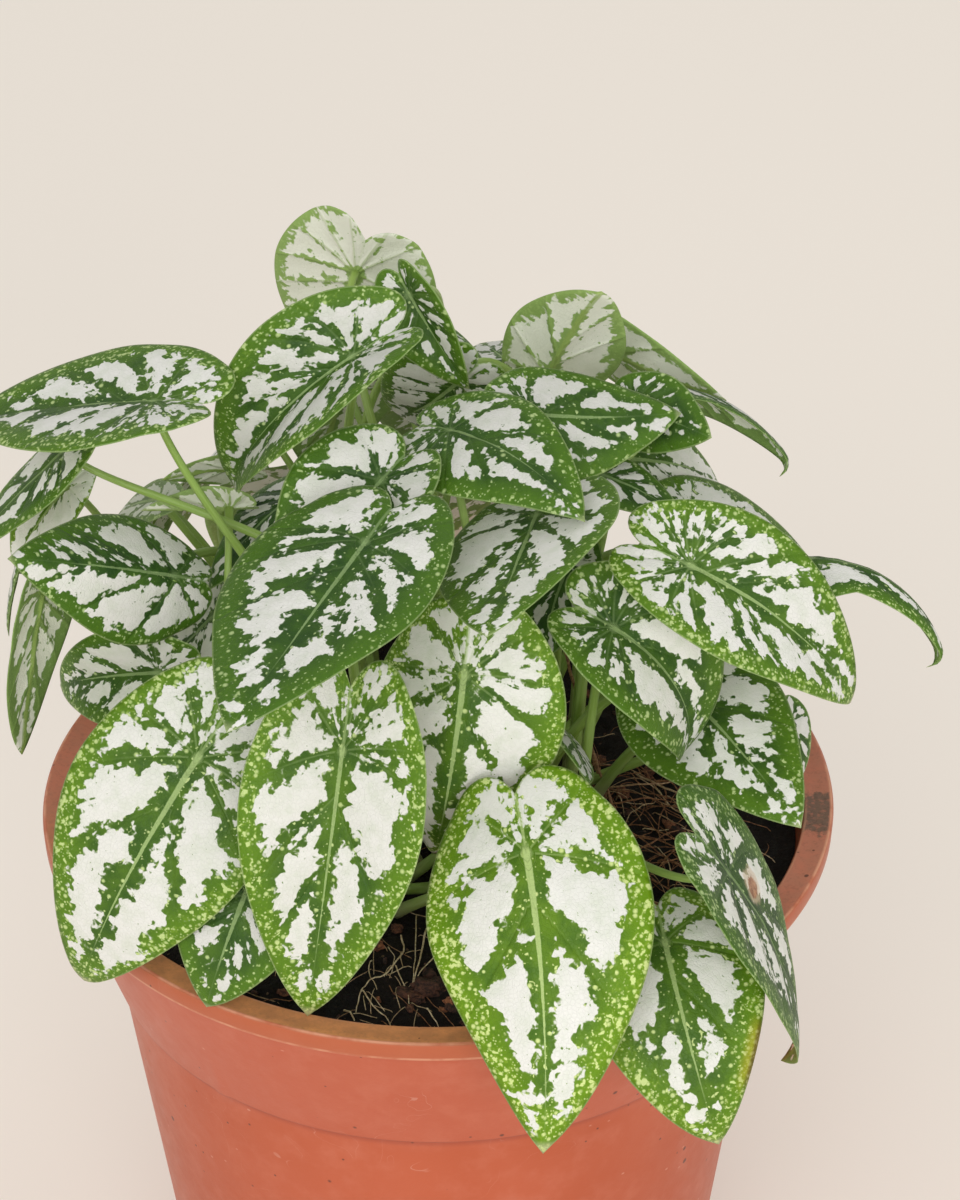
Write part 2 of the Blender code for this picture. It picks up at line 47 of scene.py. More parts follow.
# The leaves' design rows, as the solids have them: name, attachment, heading, pitch, roll, length, width factor, droop,
# left fold, right fold, arch, stalk foot, square run, rise, lean (millimetres and degrees).
LEAVES = (
    ("leaf_front_1", (18, -73, 177.5), -80, -33, 7, 60, 1.04, 46, 6, -42, 0.06,
     (-9, -34), 11, 16, (7, -15)),
    ("leaf_front_2", (-17.5, -65.5, 197), -108, -64, 18, 59, 0.87, 26, 28, 18, 0.15,
     (-12, -1), 32, 52, (-1, -38)),
    ("leaf_front_3", (-46.5, -56.5, 189), -138, -43, 30, 61, 0.91, 52, 2, 3, 0.24,
     (-27, -7), 27, 14, (-5, -17)),
    ("leaf_front_4", (6, -50, 204), -104, -62, 17, 49, 1.14, 62, -1, -42, 0.14,
     (-5, 18), 20, 32, (-9, -25)),
    ("leaf_crown_1", (-12.5, -52.5, 236.5), -117, -11, 21, 54, 1.07, 2, 36, -21, 0.55,
     (-4, -19), 17, 82, (-16, -44)),
    ("leaf_crown_2", (-10, -27.5, 235), -131, -24, 5, 35, 1.16, 25, 15, 23, -0.13,
     (-1, -5), 16, 44, (1, 1)),
    ("leaf_crown_3", (3.5, -16.5, 240), -45, 13, 7, 39.5, 0.92, 38, 35, -29, 0.28,
     (23, -14), 17, 33, (-6, -1)),
    ("leaf_crown_4", (20.5, -31, 229), -102, 2, -16, 47, 1.05, -1, 8, -5, 0.06,
     (12, -15), 13, 67, (-3, -11)),
    ("leaf_crown_5", (27.5, -12, 205.5), -125, -50, 8, 22, 1.01, 33, 0, 3, 0.14,
     (27, -7), 10, 58, (7, 0)),
    ("leaf_right_1", (51, -35, 219.5), -21, -17, -27, 49.5, 0.82, 62, 21, 8, 0.19,
     (0, 2), 11, 83, (33, 26)),
    ("leaf_right_2", (36, -34.5, 204.5), -15, -28, -15, 41, 1.04, 85, 30, 1, -0.05,
     (29, -19), 8, 46, (3, -9)),
    ("leaf_right_3", (51.5, -13.5, 175), -57, -6, -10, 42, 1.06, 21, 7, -7, 0.15,
     (33, 3), 10, 30, (11, -9)),
    ("leaf_right_4", (76.5, -17.5, 210), 0, -1, 14, 41.5, 0.96, 81, -21, -28, 0.17,
     (20, -5), 24, 62, (7, -11)),
    ("leaf_right_5", (75, -10, 164.5), -33, -65, -8, 16, 0.99, 31, -1, 0, 0.14,
     (25, 7), 10, 16, (23, -5)),
    ("leaf_right_6", (41, 7, 219), 28, -19, -37, 30.5, 1, 34, 3, 0, 0.15,
     (6, 15), 10, 25, (10, 2)),
    ("leaf_right_7", (54, -6.5, 212), 25, -22, -21, 37, 0.99, 25, 1, -2, 0.15,
     (27, 12), 6, 44, (14, -11)),
    ("leaf_right_8", (34.5, -8.5, 224.5), -18, -13, -7, 19.5, 1, 22, 1, 0, 0.15,
     (28, 2), 18, 76, (6, -7)),
    ("leaf_left_1", (-55, -16.5, 247), 157, -14, -13, 50.5, 1.02, 11, -2, 42, 0.49,
     (4, -19), 16, 48, (-22, 6)),
    ("leaf_left_2", (-75, -6, 229.5), -158, -38, -5, 31, 0.93, 6, 0, -5, 0.16,
     (16, -21), 24, 97, (-2, -15)),
    ("leaf_left_3", (-75.5, -2, 218.5), -156, -44, 23, 21.5, 1.01, 22, 17, 20, 0.18,
     (-33, -4), 18, 19, (-9, 3)),
    ("leaf_left_4", (-52, -26, 212), -143, 29, 46, 39.5, 1, 11, -37, -20, 0.18,
     (-37, 25), 36, 30, (-20, -13)),
    ("leaf_left_5", (-78.5, -29, 211), -160, -78, -49, 39, 1.02, 3, -8, 9, 0.34,
     (-23, 18), 29, 86, (-18, 24)),
    ("leaf_left_6", (-88, 0, 197.5), -153, -70, -25, 16, 1, 19, -3, -9, 0.17,
     (-12, 19), 13, 23, (-18, -4)),
    ("leaf_left_7", (-56.5, -28, 190), 165, -13, 50, 31.5, 0.95, 46, 8, 42, 0.21,
     (-12, -15), 13, 35, (-35, -14)),
    ("leaf_left_8", (-46, -12, 193), -178, -46, 20, 30, 1, 28, -2, -1, 0.16,
     (-28, 2), 7, 44, (-7, -8)),
    ("leaf_top_1", (-15.5, -14, 255.5), -167, -30, 34, 46, 0.96, 63, 42, 42, 0.14,
     (-12, 5), 13, 91, (-15, 15)),
    ("leaf_top_2", (-16.5, 40.5, 245.5), 123, -65, -50, 51, 0.99, -25, 18, 16, 0.16,
     (0, 9), 22, 64, (1, 3)),
    ("leaf_top_3", (24, 26.5, 228.5), -57, 61, 27, 38, 0.96, 17, 10, 42, 0.43,
     (23, 18), 17, 53, (7, 0)),
    ("leaf_top_4", (34, 39.5, 228.5), -37, -9, 63, 33, 1.01, -9, 0, 12, 0.02,
     (18, 25), 16, 67, (7, 13)),
    ("leaf_top_5", (20, -8.5, 239), 15, -16, -30, 31, 1.12, -25, -5, -10, 0.29,
     (14, 2), 8, 83, (1, -6)),
    ("leaf_top_6", (41, 4, 234), -37, -5, -47, 20.5, 1.08, -15, -4, -8, 0.19,
     (-17, -10), 21, 81, (-11, -35)),
    ("leaf_top_7", (49.5, 15.5, 231.5), -2, -8, 32, 33.5, 0.96, 56, -21, -14, 0.1,
     (-13, -20), 24, 102, (-2, -28)),
    ("leaf_top_8", (-4.5, 10.5, 256), -39, -51, -60, 23, 0.99, 18, 42, 10, 0.11,
     (6, 23), 63, 68, (-17, 8)),
    ("leaf_top_9", (5, 12.5, 234.5), 146, -48, 111, 33, 1.01, 41, 0, 5, 0.14,
     (11, 23), 27, 71, (37, -7)),
    ("leaf_top_10", (-4.5, 28.5, 240), -17, -19, 7, 21.5, 1, 24, -2, 0, 0.16,
     (-13, 28), 26, 94, (-8, 14)),
    ("leaf_top_11", (18.5, 47, 216), 109, -4, 8, 32, 1, 22, -1, 0, 0.15,
     (29, 18), 14, 69, (8, 15)),
    ("leaf_rim_1", (-37, -67, 165), -123, -46, 22, 28.5, 1.21, 47, 5, -1, 0.11,
     (0, -25), 18, 11, (-1, -16)),
    ("leaf_rim_2", (46, -68.5, 151.5), -82, -14, -15, 46, 1.04, 85, -17, 8, 0.04,
     (12, -6), 16, 30, (11, -22)),
    ("leaf_rim_3", (58, -68, 168.5), 3, -57, -9, 56, 1.05, 31, 3, 4, 0.04,
     (4, -10), 21, 25, (18, 2)),
    ("leaf_rim_4", (27.5, -38, 180), -75, 3, 45, 16, 1, 9, -7, 0, 0.17,
     (-9, -25), 11, 18, (15, -7)),
    ("leaf_inner_1", (-42, -5.5, 215.5), 176, -4, -49, 18.5, 0.85, 0, 42, 33, 0.18,
     (-23, -14), 48, 57, (-21, -7)),
    ("leaf_inner_2", (-39.5, 2.5, 220), -178, 4, -48, 17, 1, 21, 13, -12, 0.15,
     (-21, -1), 13, 76, (-40, 37)),
    ("leaf_inner_3", (-57, 3.5, 212), 151, -20, 22, 16, 0.99, 33, 0, 3, 0.15,
     (-16, 25), 63, 21, (-8, -7)),
    ("leaf_inner_4", (-29, 1, 214.5), -141, -17, -7, 27, 1.01, 28, 0, -3, 0.12,
     (-16, 14), 13, 43, (-9, -8)),
    ("leaf_back_1", (5, 66, 202), 94, -46, -6, 50.5, 1, 23, -1, -3, 0.15,
     (-13, 24), 20, 34, (11, 10)),
    ("leaf_back_2", (43.5, 60.5, 200), 56, -38, -18, 47, 1.04, 26, -4, -5, 0.15,
     (7, 18), 27, 20, (9, 9)),
    ("leaf_back_3", (-41, 60.5, 199), 144, -47, 3, 46.5, 1, 22, -7, 5, 0.15,
     (-9, 14), 15, 53, (-12, 21)),
    ("leaf_back_4", (14.5, 87.5, 166.5), 85, -54, -1, 56, 1.01, 30, -8, -7, 0.15,
     (-2, 19), 22, 16, (7, 26)),
    ("leaf_back_5", (56.5, 71.5, 170.5), 37, -48, -2, 54, 1.02, 39, 6, -8, 0.15,
     (4, 30), 33, 21, (13, 7)),
    ("leaf_back_6", (-33.5, 80.5, 168), 113, -52, -8, 53.5, 0.96, 27, 8, -2, 0.15,
     (-9, 29), 24, 24, (-7, 16)),
    ("leaf_back_7", (71, 35.5, 171.5), 20, -42, -14, 45, 1.05, 37, 7, -4, 0.15,
     (6, 3), 19, 14, (24, 13)),
    ("leaf_back_8", (-75, 41, 172), 153, -45, 7, 48, 0.97, 35, 7, 1, 0.15,
     (-23, 14), 15, 14, (-19, 5)),
    ("leaf_back_9", (44.5, 45.5, 221.5), 43, -46, 3, 32.5, 1.01, 33, -5, 1, 0.15,
     (15, 18), 14, 31, (26, 19)),
    ("leaf_back_10", (-19, 44.5, 215), 114, -47, -4, 38, 0.95, 31, 8, -3, 0.15,
     (2, 21), 12, 47, (1, 5)),
    ("leaf_back_11", (-3.5, 57.5, 224.5), 81, -41, -26, 24, 0.97, 30, -1, 9, 0.15,
     (11, 27), 15, 20, (-3, 0)),
    ("leaf_back_12", (-59, 28.5, 195.5), 159, -57, 0, 36, 1.02, 32, 1, -4, 0.15,
     (-29, 6), 22, 12, (-2, 14)),
)

# Looks of single leaves: tone of the green (0 deep, 1 bright and yellowish), extra white, weight of the pale rib,
# amount of pale specks, brightness of the white (painted light and shade, set leaf by leaf for how much light that leaf
# gets), width of the green margin in blade lengths.
LOOK = {
    "leaf_front_1": (0.95, -0.008, 1.0, 1.0, 1.02, 0.090), "leaf_front_2": (0.54, -0.014, 0.65, 1.0, 0.95, 0.062),
    "leaf_front_3": (0.50, -0.008, 0.85, 1.0, 0.95, 0.060), "leaf_front_4": (0.62, -0.006, 0.7, 0.95, 1.0, 0.070),
    "leaf_crown_1": (0.14, -0.014, 0.40, 0.4, 1.01, 0.080), "leaf_crown_2": (0.12, -0.014, 0.3, 0.5, 0.94, 0.066),
    "leaf_crown_3": (0.20, -0.020, 0.4, 0.5, 0.88, 0.080), "leaf_crown_4": (0.32, 0.000, 0.35, 0.3, 1.10, 0.068),
    "leaf_crown_5": (0.10, -0.012, 0.3, 0.3, 0.85, 0.080), "leaf_right_1": (0.42, -0.010, 0.7, 1.0, 0.94, 0.062),
    "leaf_right_2": (0.26, -0.016, 0.6, 0.6, 1.03, 0.090), "leaf_right_3": (0.34, -0.004, 0.5, 0.6, 1.06, 0.092),
    "leaf_right_4": (0.24, -0.030, 0.3, 0.6, 0.94, 0.085), "leaf_right_8": (0.12, -0.012, 0.3, 0.4, 0.9, 0.080),
    "leaf_left_1": (0.30, -0.014, 0.40, 0.8, 0.97, 0.074), "leaf_left_2": (0.24, -0.020, 0.3, 0.7, 1.02, 0.070),
    "leaf_left_4": (0.12, -0.010, 0.3, 0.35, 0.94, 0.062), "leaf_left_5": (0.10, -0.004, 0.4, 0.6, 1.40, 0.085),
    "leaf_left_7": (0.24, -0.012, 0.5, 0.5, 1.02, 0.070), "leaf_top_1": (0.26, -0.006, 0.5, 0.6, 0.84, 0.078),
    "leaf_top_2": (0.55, 0.014, 0.6, 0.4, 1.0, 0.045), "leaf_top_3": (0.55, 0.010, 0.9, 0.9, 1.18, 0.072),
    "leaf_top_5": (0.20, -0.020, 0.3, 0.5, 0.84, 0.072), "leaf_top_8": (0.26, -0.030, 0.3, 0.4, 0.92, 0.085),
    "leaf_top_9": (0.30, 0.0, 0.4, 0.4, 0.9, 0.070), "leaf_top_10": (0.12, -0.01, 0.3, 0.4, 0.85, 0.080),
    "leaf_rim_1": (0.28, -0.022, 0.4, 0.5, 0.87, 0.085), "leaf_rim_2": (0.70, -0.018, 0.6, 1.0, 1.0, 0.088),
    "leaf_rim_3": (0.06, -0.022, 0.4, 0.8, 1.05, 0.085), "leaf_inner_1": (0.50, 0.004, 0.5, 0.6, 0.9, 0.060),
    "leaf_inner_4": (0.02, -0.016, 0.2, 0.2, 0.85, 0.090), "leaf_top_6": (0.16, -0.040, 0.3, 0.4, 0.84, 0.085),
    "leaf_top_4": (0.55, 0.000, 0.6, 0.9, 1.22, 0.064), "leaf_left_3": (0.85, 0.020, 0.4, 0.5, 1.22, 0.060),
    "leaf_top_7": (0.10, -0.022, 0.3, 0.4, 0.80, 0.085), "leaf_left_8": (0.20, 0.000, 0.3, 0.4, 0.95, 0.070),
    "leaf_right_6": (0.34, 0.006, 0.4, 0.5, 1.06, 0.072), "leaf_right_7": (0.32, -0.004, 0.4, 0.5, 1.0, 0.070),
}

# Marks of age: place on the blade (u, v) and size in blade lengths. A size under zero is a yellowed margin and not a scar.
MARKS = {"leaf_rim_3": (0.16, 0.100, 0.050), "leaf_rim_2": (0.60, 0.26, -0.22)}

# Veins of single leaves: for the left and the right half, (foot on the midrib in blade lengths, angle to the midrib).
VEINS = {
    "leaf_front_1": (((0, 176), (0, 137), (0, 84), (0.15, 34)), ((0, 176), (0, 143), (0, 87), (0.14, 37))),
    "leaf_front_2": (((0, 170), (0, 143), (0, 106), (0, 87), (0.17, 38)),
                     ((0, 172), (0, 139), (0, 81), (0.15, 46), (0.38, 34))),
    "leaf_front_3": (((0, 165), (0, 130), (0, 96), (0, 68), (0.16, 36)),
                     ((0, 165), (0, 138), (0, 104), (0, 66), (0.17, 41))),
    "leaf_crown_1": (((0, 165), (0, 132), (0, 74), (0.06, 48), (0.17, 27)),
                     ((0, 168), (0, 99), (0, 70), (0.13, 42), (0.57, 24))),
    "leaf_crown_3": (((0, 155), (0, 121), (0, 70), (0.2, 43)), ((0, 162), (0, 130), (0, 96), (0, 60), (0.12, 35))),
    "leaf_right_1": (((0, 165), (0, 140), (0, 121), (0, 100), (0, 76), (0.06, 56), (0.15, 42), (0.52, 22)),
                     ((0, 160), (0, 131), (0, 97), (0, 72), (0.11, 47), (0.2, 37), (0.5, 24))),
    "leaf_left_4": (((0, 168), (0, 139), (0, 73), (0.15, 34), (0.56, 32)),
                    ((0, 170), (0, 140), (0, 76), (0.15, 32), (0.35, 40), (0.58, 40))),
    "leaf_rim_2": (((0, 170), (0, 133), (0, 78), (0.17, 30), (0.6, 25)), ((0, 165), (0, 130), (0, 80), (0.22, 28))),
    "leaf_front_4": (((0, 166), (0, 136), (0, 98), (0, 58), (0.15, 33)), ((0, 168), (0, 143), (0, 96), (0, 52), (0.16, 34))),
    "leaf_crown_2": (((0, 165), (0, 140), (0, 88), (0, 58), (0.2, 35)), ((0, 160), (0, 128), (0, 68), (0.12, 33))),
    "leaf_right_2": (((0, 165), (0, 145), (0, 120), (0, 95), (0, 62), (0.12, 25)), ((0, 172), (0, 148), (0, 118), (0, 85), (0.02, 56))),
    "leaf_right_3": (((0, 165), (0, 120), (0, 75), (0.12, 38), (0.42, 25)), ((0, 165), (0, 120), (0, 75), (0.2, 30), (0.5, 22))),
    "leaf_crown_4": (((0, 165), (0, 120), (0, 68), (0, 32), (0.3, 20)), ((0, 165), (0, 128), (0, 88), (0.12, 28), (0.5, 20))),
    "leaf_left_1": (((0, 168), (0, 140), (0, 112), (0, 82), (0.1, 52), (0.3, 35)), ((0, 155), (0, 112), (0, 62), (0.12, 36), (0.4, 22))),
    "leaf_top_1": (((0, 165), (0, 145), (0, 100), (0, 72), (0.1, 45), (0.3, 30)), ((0, 160), (0, 128), (0, 90), (0, 62), (0.1, 42), (0.15, 22))),
    "leaf_top_3": (((0, 150), (0, 105), (0.10, 45), (0.3, 22)), ((0, 150), (0, 115), (0, 70), (0.18, 35))),
    "leaf_top_5": (((0, 165), (0, 125), (0, 92), (0.06, 30)), ((0, 160), (0, 100), (0.05, 38), (0.3, 25))),
    "leaf_rim_3": (((0, 156), (0, 116), (0, 74), (0.12, 34), (0.45, 22)), ((0, 158), (0, 118), (0, 70), (0.10, 35), (0.4, 22))),
}

# Tips that have rolled under: where the roll starts along the midrib, and how far it turns, degrees.
CURLS = {"leaf_top_7": (0.84, 95.0), "leaf_right_4": (0.86, 105.0), "leaf_rim_3": (0.86, 60.0), "leaf_left_3": (0.90, 50.0),
         "leaf_right_1": (0.92, 30.0), "leaf_front_3": (0.92, 28.0)}

# ------------------------------------------------------------------ node graphs


class Graph:
    """Short calls for the nodes of one material."""

    def __init__(self, name):
        self.mat = bpy.data.materials.new(name)
        self.mat.use_nodes = True
        self.tree = self.mat.node_tree
        self.bsdf = self.tree.nodes["Principled BSDF"]

    def node(self, kind, **props):
        n = self.tree.nodes.new(kind)
        for k, v in props.items():
            setattr(n, k, v)
        return n

    def put(self, socket, value):
        if isinstance(value, bpy.types.NodeSocket):
            self.tree.links.new(value, socket)
        else:
            socket.default_value = value

    def math(self, op, a, b=None, c=None, clamp=False):
        n = self.node("ShaderNodeMath", operation=op, use_clamp=clamp)
        for i, v in enumerate((a, b, c)):
            if v is not None:
                self.put(n.inputs[i], v)
        return n.outputs[0]

    def vec(self, op, a, b=None, scale=None):
        n = self.node("ShaderNodeVectorMath", operation=op)
        self.put(n.inputs[0], a)
        if b is not None:
            self.put(n.inputs[1], b)
        if scale is not None:
            self.put(n.inputs["Scale"], scale)
        return n.outputs["Value"] if op in ("LENGTH", "DOT_PRODUCT", "DISTANCE") else n.outputs[0]

    def split(self, v):
        n = self.node("ShaderNodeSeparateXYZ")
        self.put(n.inputs[0], v)
        return n.outputs[0], n.outputs[1], n.outputs[2]

    def join(self, x, y, z):
        n = self.node("ShaderNodeCombineXYZ")
        for i, v in enumerate((x, y, z)):
            self.put(n.inputs[i], v)
        return n.outputs[0]

    def attr(self, name):
        n = self.node("ShaderNodeAttribute", attribute_name=name)
        n.attribute_type = "GEOMETRY"
        return n.outputs["Vector"]

    def coords(self):
        return self.node("ShaderNodeTexCoord").outputs["Object"]

    def noise(self, vec, scale, detail=2.0, rough=0.5, distort=0.0, colour=False):
        n = self.node("ShaderNodeTexNoise")
        self.put(n.inputs["Vector"], vec)
        n.inputs["Scale"].default_value = scale
        n.inputs["Detail"].default_value = detail
        n.inputs["Roughness"].default_value = rough
        n.inputs["Distortion"].default_value = distort
        return n.outputs["Color"] if colour else n.outputs["Fac"]

    def cells(self, vec, scale, feature="F1", random=1.0):
        n = self.node("ShaderNodeTexVoronoi", feature=feature)
        self.put(n.inputs["Vector"], vec)
        n.inputs["Scale"].default_value = scale
        n.inputs["Randomness"].default_value = random
        return n

    def step(self, value, low, high, to0=0.0, to1=1.0, smooth=True):
        n = self.node("ShaderNodeMapRange", interpolation_type="SMOOTHSTEP" if smooth else "LINEAR")
        self.put(n.inputs["Value"], value)
        for k, v in (("From Min", low), ("From Max", high), ("To Min", to0), ("To Max", to1)):
            self.put(n.inputs[k], v)
        return n.outputs["Result"]

    def blend(self, fac, a, b, mode="MIX"):
        n = self.node("ShaderNodeMix", data_type="RGBA", blend_type=mode)
        self.put(n.inputs[0], fac)
        for i, v in ((6, a), (7, b)):
            self.put(n.inputs[i], (*v, 1.0) if isinstance(v, tuple) and len(v) == 3 else v)
        return n.outputs[2]

    def either(self, fac, a, b):
        n = self.node("ShaderNodeMix", data_type="FLOAT")
        self.put(n.inputs[0], fac)
        self.put(n.inputs[2], a)
        self.put(n.inputs[3], b)
        return n.outputs[0]

    def bump(self, height, strength, distance, normal=None):
        n = self.node("ShaderNodeBump")
        n.inputs["Strength"].default_value = strength
        n.inputs["Distance"].default_value = distance
        self.put(n.inputs["Height"], height)
        if normal is not None:
            self.put(n.inputs["Normal"], normal)
        return n.outputs[0]

    def finish(self, colour, roughness, normal=None):
        self.put(self.bsdf.inputs["Base Color"], colour)
        self.put(self.bsdf.inputs["Roughness"], roughness)
        if normal is not None:
            self.put(self.bsdf.inputs["Normal"], normal)
        return self.mat


VEIN_CURVE = 0.55           # how much a side vein sweeps towards the tip


def blade_material():
    g = Graph("caladium_blade")
    u, v, edge = g.split(g.attr("leaf_uv"))       # blade lengths; edge is the distance to the margin
    mm = g.attr("leaf_mm")                        # millimetres on the blade, and a number of its own for each leaf
    tone, white, side = g.split(g.attr("leaf_look"))
    length, rib, specks = g.split(g.attr("leaf_more"))
    vein_l, vein_r, gap = g.split(g.attr("leaf_vein"))
    painted_light_on_white, band, pale = g.split(g.attr("leaf_kind"))
    mark_u, mark_v, mark = g.split(g.attr("leaf_mark"))
    seed = g.split(mm)[2]
    av = g.math("ABSOLUTE", v)
    left = g.math("GREATER_THAN", v, 0.0)
    count = g.either(left, vein_r, vein_l)        # whole numbers are veins
    gap = g.math("MAXIMUM", gap, 0.01)
    reach = g.math("SQRT", g.math("ADD", g.math("MULTIPLY", u, u), g.math("MULTIPLY", v, v)))

    # the bands along the veins wander a little
    wob = g.split(g.noise(mm, 0.10, 1.0, 0.5, colour=True))
    wob2 = g.split(g.noise(mm, 0.45, 2.0, 0.6, colour=True))
    drift = g.math("ADD", g.math("MULTIPLY", g.math("SUBTRACT", wob[0], 0.5), 0.070),
                   g.math("MULTIPLY", g.math("SUBTRACT", wob2[0], 0.5), 0.040))
    drift = g.math("MULTIPLY", drift, g.step(reach, 0.0, 0.3, 0.35, 1.0))
    moved = g.math("ADD", count, g.math("DIVIDE", drift, gap))
    near = g.math("ABSOLUTE", g.math("SUBTRACT", g.math("FRACT", g.math("ADD", moved, 20.5)), 0.5))
    vein = g.math("MULTIPLY", near, gap)          # distance to the nearest side vein
    true_near = g.math("ABSOLUTE", g.math("SUBTRACT", g.math("FRACT", g.math("ADD", count, 20.5)), 0.5))
    true_vein = g.math("MULTIPLY", true_near, gap)

    # white patches between the veins, torn along the veins
    tear_at = g.join(g.math("MULTIPLY", g.math("MULTIPLY", reach, length), 0.20), g.math("MULTIPLY", count, 3.4),
                     g.math("ADD", seed, g.math("MULTIPLY", left, 3.3)))
    tear = g.noise(tear_at, 1.0, 2.6, 0.50, 0.35)
    tear2 = g.noise(mm, 0.55, 2.0, 0.46, 0.4)
    slow = g.noise(mm, 0.07, 1.0, 0.5)
    half = g.math("ADD", g.step(g.math("ABSOLUTE", count), 3.3, 3.9, 0.0250, 0.015),
                  g.step(reach, 0.05, 0.30, -0.007, 0.0))
    half = g.math("ADD", half, g.math("MULTIPLY", g.math("SUBTRACT", slow, 0.5), 0.055))
    half = g.math("MAXIMUM", half, g.step(reach, 0.05, 0.25, 0.009, 0.016))
    # the veins of the basal lobes run through the white as thin lines, and the first one beside the notch hardly shows
    basal = g.math("MULTIPLY", g.step(u, -0.02, 0.12, 0.46, 1.0), g.step(g.math("ABSOLUTE", count), 0.25, 0.75, 0.35, 1.0))
    half = g.math("MULTIPLY", half, basal)
    band_v = g.math("SUBTRACT", vein, half)
    spine = g.math("SUBTRACT", av, g.math("ADD", g.step(u, -0.05, 0.05, 0.003, 0.046), g.step(u, 0.25, 0.85, 0.0, -0.024)))
    spine = g.math("SUBTRACT", spine, g.math("MULTIPLY", g.math("SUBTRACT", wob[2], 0.5), g.step(u, -0.04, 0.08, 0.006, 0.05)))
    rim_w = g.math("MULTIPLY", band, g.math("MULTIPLY", g.step(u, -0.1, 0.45, 0.85, 1.32), g.step(u, 0.60, 0.97, 1.0, 0.22)))
    rim_w = g.math("ADD", rim_w, g.math("MULTIPLY", g.math("SUBTRACT", wob[1], 0.5), 0.09))
    # the green margin thins out where the two lobes join
    du = g.math("ADD", u, 0.215)
    join_at = g.math("SQRT", g.math("ADD", g.math("MULTIPLY", du, du), g.math("MULTIPLY", v, v)))
    rim_w = g.math("MULTIPLY", rim_w, g.step(join_at, 0.02, 0.22, 0.0, 1.0))
    rim = g.math("MULTIPLY", g.math("SUBTRACT", edge, rim_w), 0.9)
    body = g.math("MINIMUM", g.math("MINIMUM", band_v, spine), rim)
    patch = g.math("ADD", body, g.math("MULTIPLY", g.math("SUBTRACT", tear, 0.5), g.step(reach, 0.03, 0.26, 0.045, 0.165)))
    patch = g.math("ADD", patch, g.math("MULTIPLY", g.math("SUBTRACT", tear2, 0.5), 0.120))
    patch = g.math("ADD", patch, white)
    patch = g.math("ADD", patch, g.step(reach, 0.015, 0.06, -0.05, 0.0))
    soft = g.either(side, 0.0060, 0.011)
    is_white = g.step(patch, g.math("MULTIPLY", soft, -0.7), soft)
    is_pale = g.step(patch, g.math("MULTIPLY", soft, -2.2), g.math("MULTIPLY", soft, 0.4))

    # green flecks in the white, pale specks in the green
    fleck = g.step(g.noise(mm, 1.05, 2.0, 0.6), 0.705, 0.735)
    is_white = g.math("MULTIPLY", is_white, g.math("SUBTRACT", 1.0, g.math("MULTIPLY", fleck, 0.85)))
    zone = g.step(edge, g.math("ADD", band, 0.055), g.math("MULTIPLY", band, 0.45))
    zone = g.math("MULTIPLY", zone, g.step(g.noise(mm, 0.22, 2.0, 0.6), 0.30, 0.62, 0.35, 1.0))
    thick_z = g.math("MULTIPLY", specks, zone)
    blot = g.noise(mm, 0.92, 1.0, 0.40, 0.2)
    level = g.math("SUBTRACT", 0.705, g.math("ADD", g.math("MULTIPLY", thick_z, 0.118), g.math("MULTIPLY", specks, 0.018)))
    blotch = g.step(blot, level, g.math("ADD", level, 0.075))
    glow = g.step(blot, g.math("SUBTRACT", level, 0.120), level)
    spots = g.cells(mm, 0.85)
    lot = g.split(spots.outputs["Color"])
    share = g.math("MULTIPLY", specks, g.math("ADD", g.math("MULTIPLY", zone, 0.72), 0.14))
    size = g.step(lot[1], 0.0, 1.0, 0.24, 0.64, smooth=False)
    dot = g.math("MULTIPLY", g.step(spots.outputs["Distance"], size, g.math("MULTIPLY", size, 0.30)),
                 g.math("LESS_THAN", lot[0], share))
    small = g.cells(mm, 1.7)
    lot2 = g.split(small.outputs["Color"])
    share2 = g.math("MULTIPLY", specks, g.math("ADD", g.math("MULTIPLY", zone, 0.40), 0.07))
    dot2 = g.math("MULTIPLY", g.step(small.outputs["Distance"], 0.42, 0.20), g.math("LESS_THAN", lot2[0], share2))
    dot = g.math("MAXIMUM", g.math("MAXIMUM", dot, blotch), g.math("MULTIPLY", dot2, 0.7))
    dot = g.math("MULTIPLY", dot, g.math("SUBTRACT", 1.0, is_white))
    glow = g.math("MULTIPLY", glow, g.math("MULTIPLY", thick_z, 0.8))

    # greens
    cloud = g.noise(mm, 0.16, 3.0, 0.6)
    deep = g.blend(tone, (0.015, 0.052, 0.010), (0.062, 0.152, 0.009))
    lit = g.blend(tone, (0.040, 0.104, 0.013), (0.130, 0.252, 0.012))
    green = g.blend(g.step(cloud, 0.30, 0.72), deep, lit)
    margin = g.step(edge, 0.165, 0.035)
    green = g.blend(g.math("MULTIPLY", margin, 0.8), green, g.blend(tone, (0.056, 0.142, 0.010), (0.152, 0.305, 0.005)))
    green = g.blend(glow, green, g.blend(tone, (0.120, 0.225, 0.025), (0.230, 0.385, 0.022)))
    pale_c = g.blend(tone, (0.115, 0.205, 0.070), (0.27, 0.40, 0.095))
    colour = g.blend(g.math("MULTIPLY", is_pale, 0.5), green, pale_c)
    chalk = g.blend(g.step(g.noise(mm, 0.3, 3.0, 0.6), 0.35, 0.75), (0.795, 0.795, 0.755), (0.70, 0.73, 0.645))
    # painted light and shade: the white is scaled leaf by leaf for how much light the leaf gets
    chalk = g.vec("SCALE", chalk, scale=painted_light_on_white)
    colour = g.blend(is_white, colour, chalk)
    tip = g.math("MULTIPLY", g.step(u, 0.945, 0.990), g.math("MULTIPLY", specks, 0.80))
    colour = g.blend(tip, colour, (0.66, 0.68, 0.40))
    colour = g.blend(g.math("MULTIPLY", dot, g.either(tone, 0.78, 0.92)), colour,
                     g.blend(tone, (0.46, 0.60, 0.27), (0.70, 0.82, 0.32)))

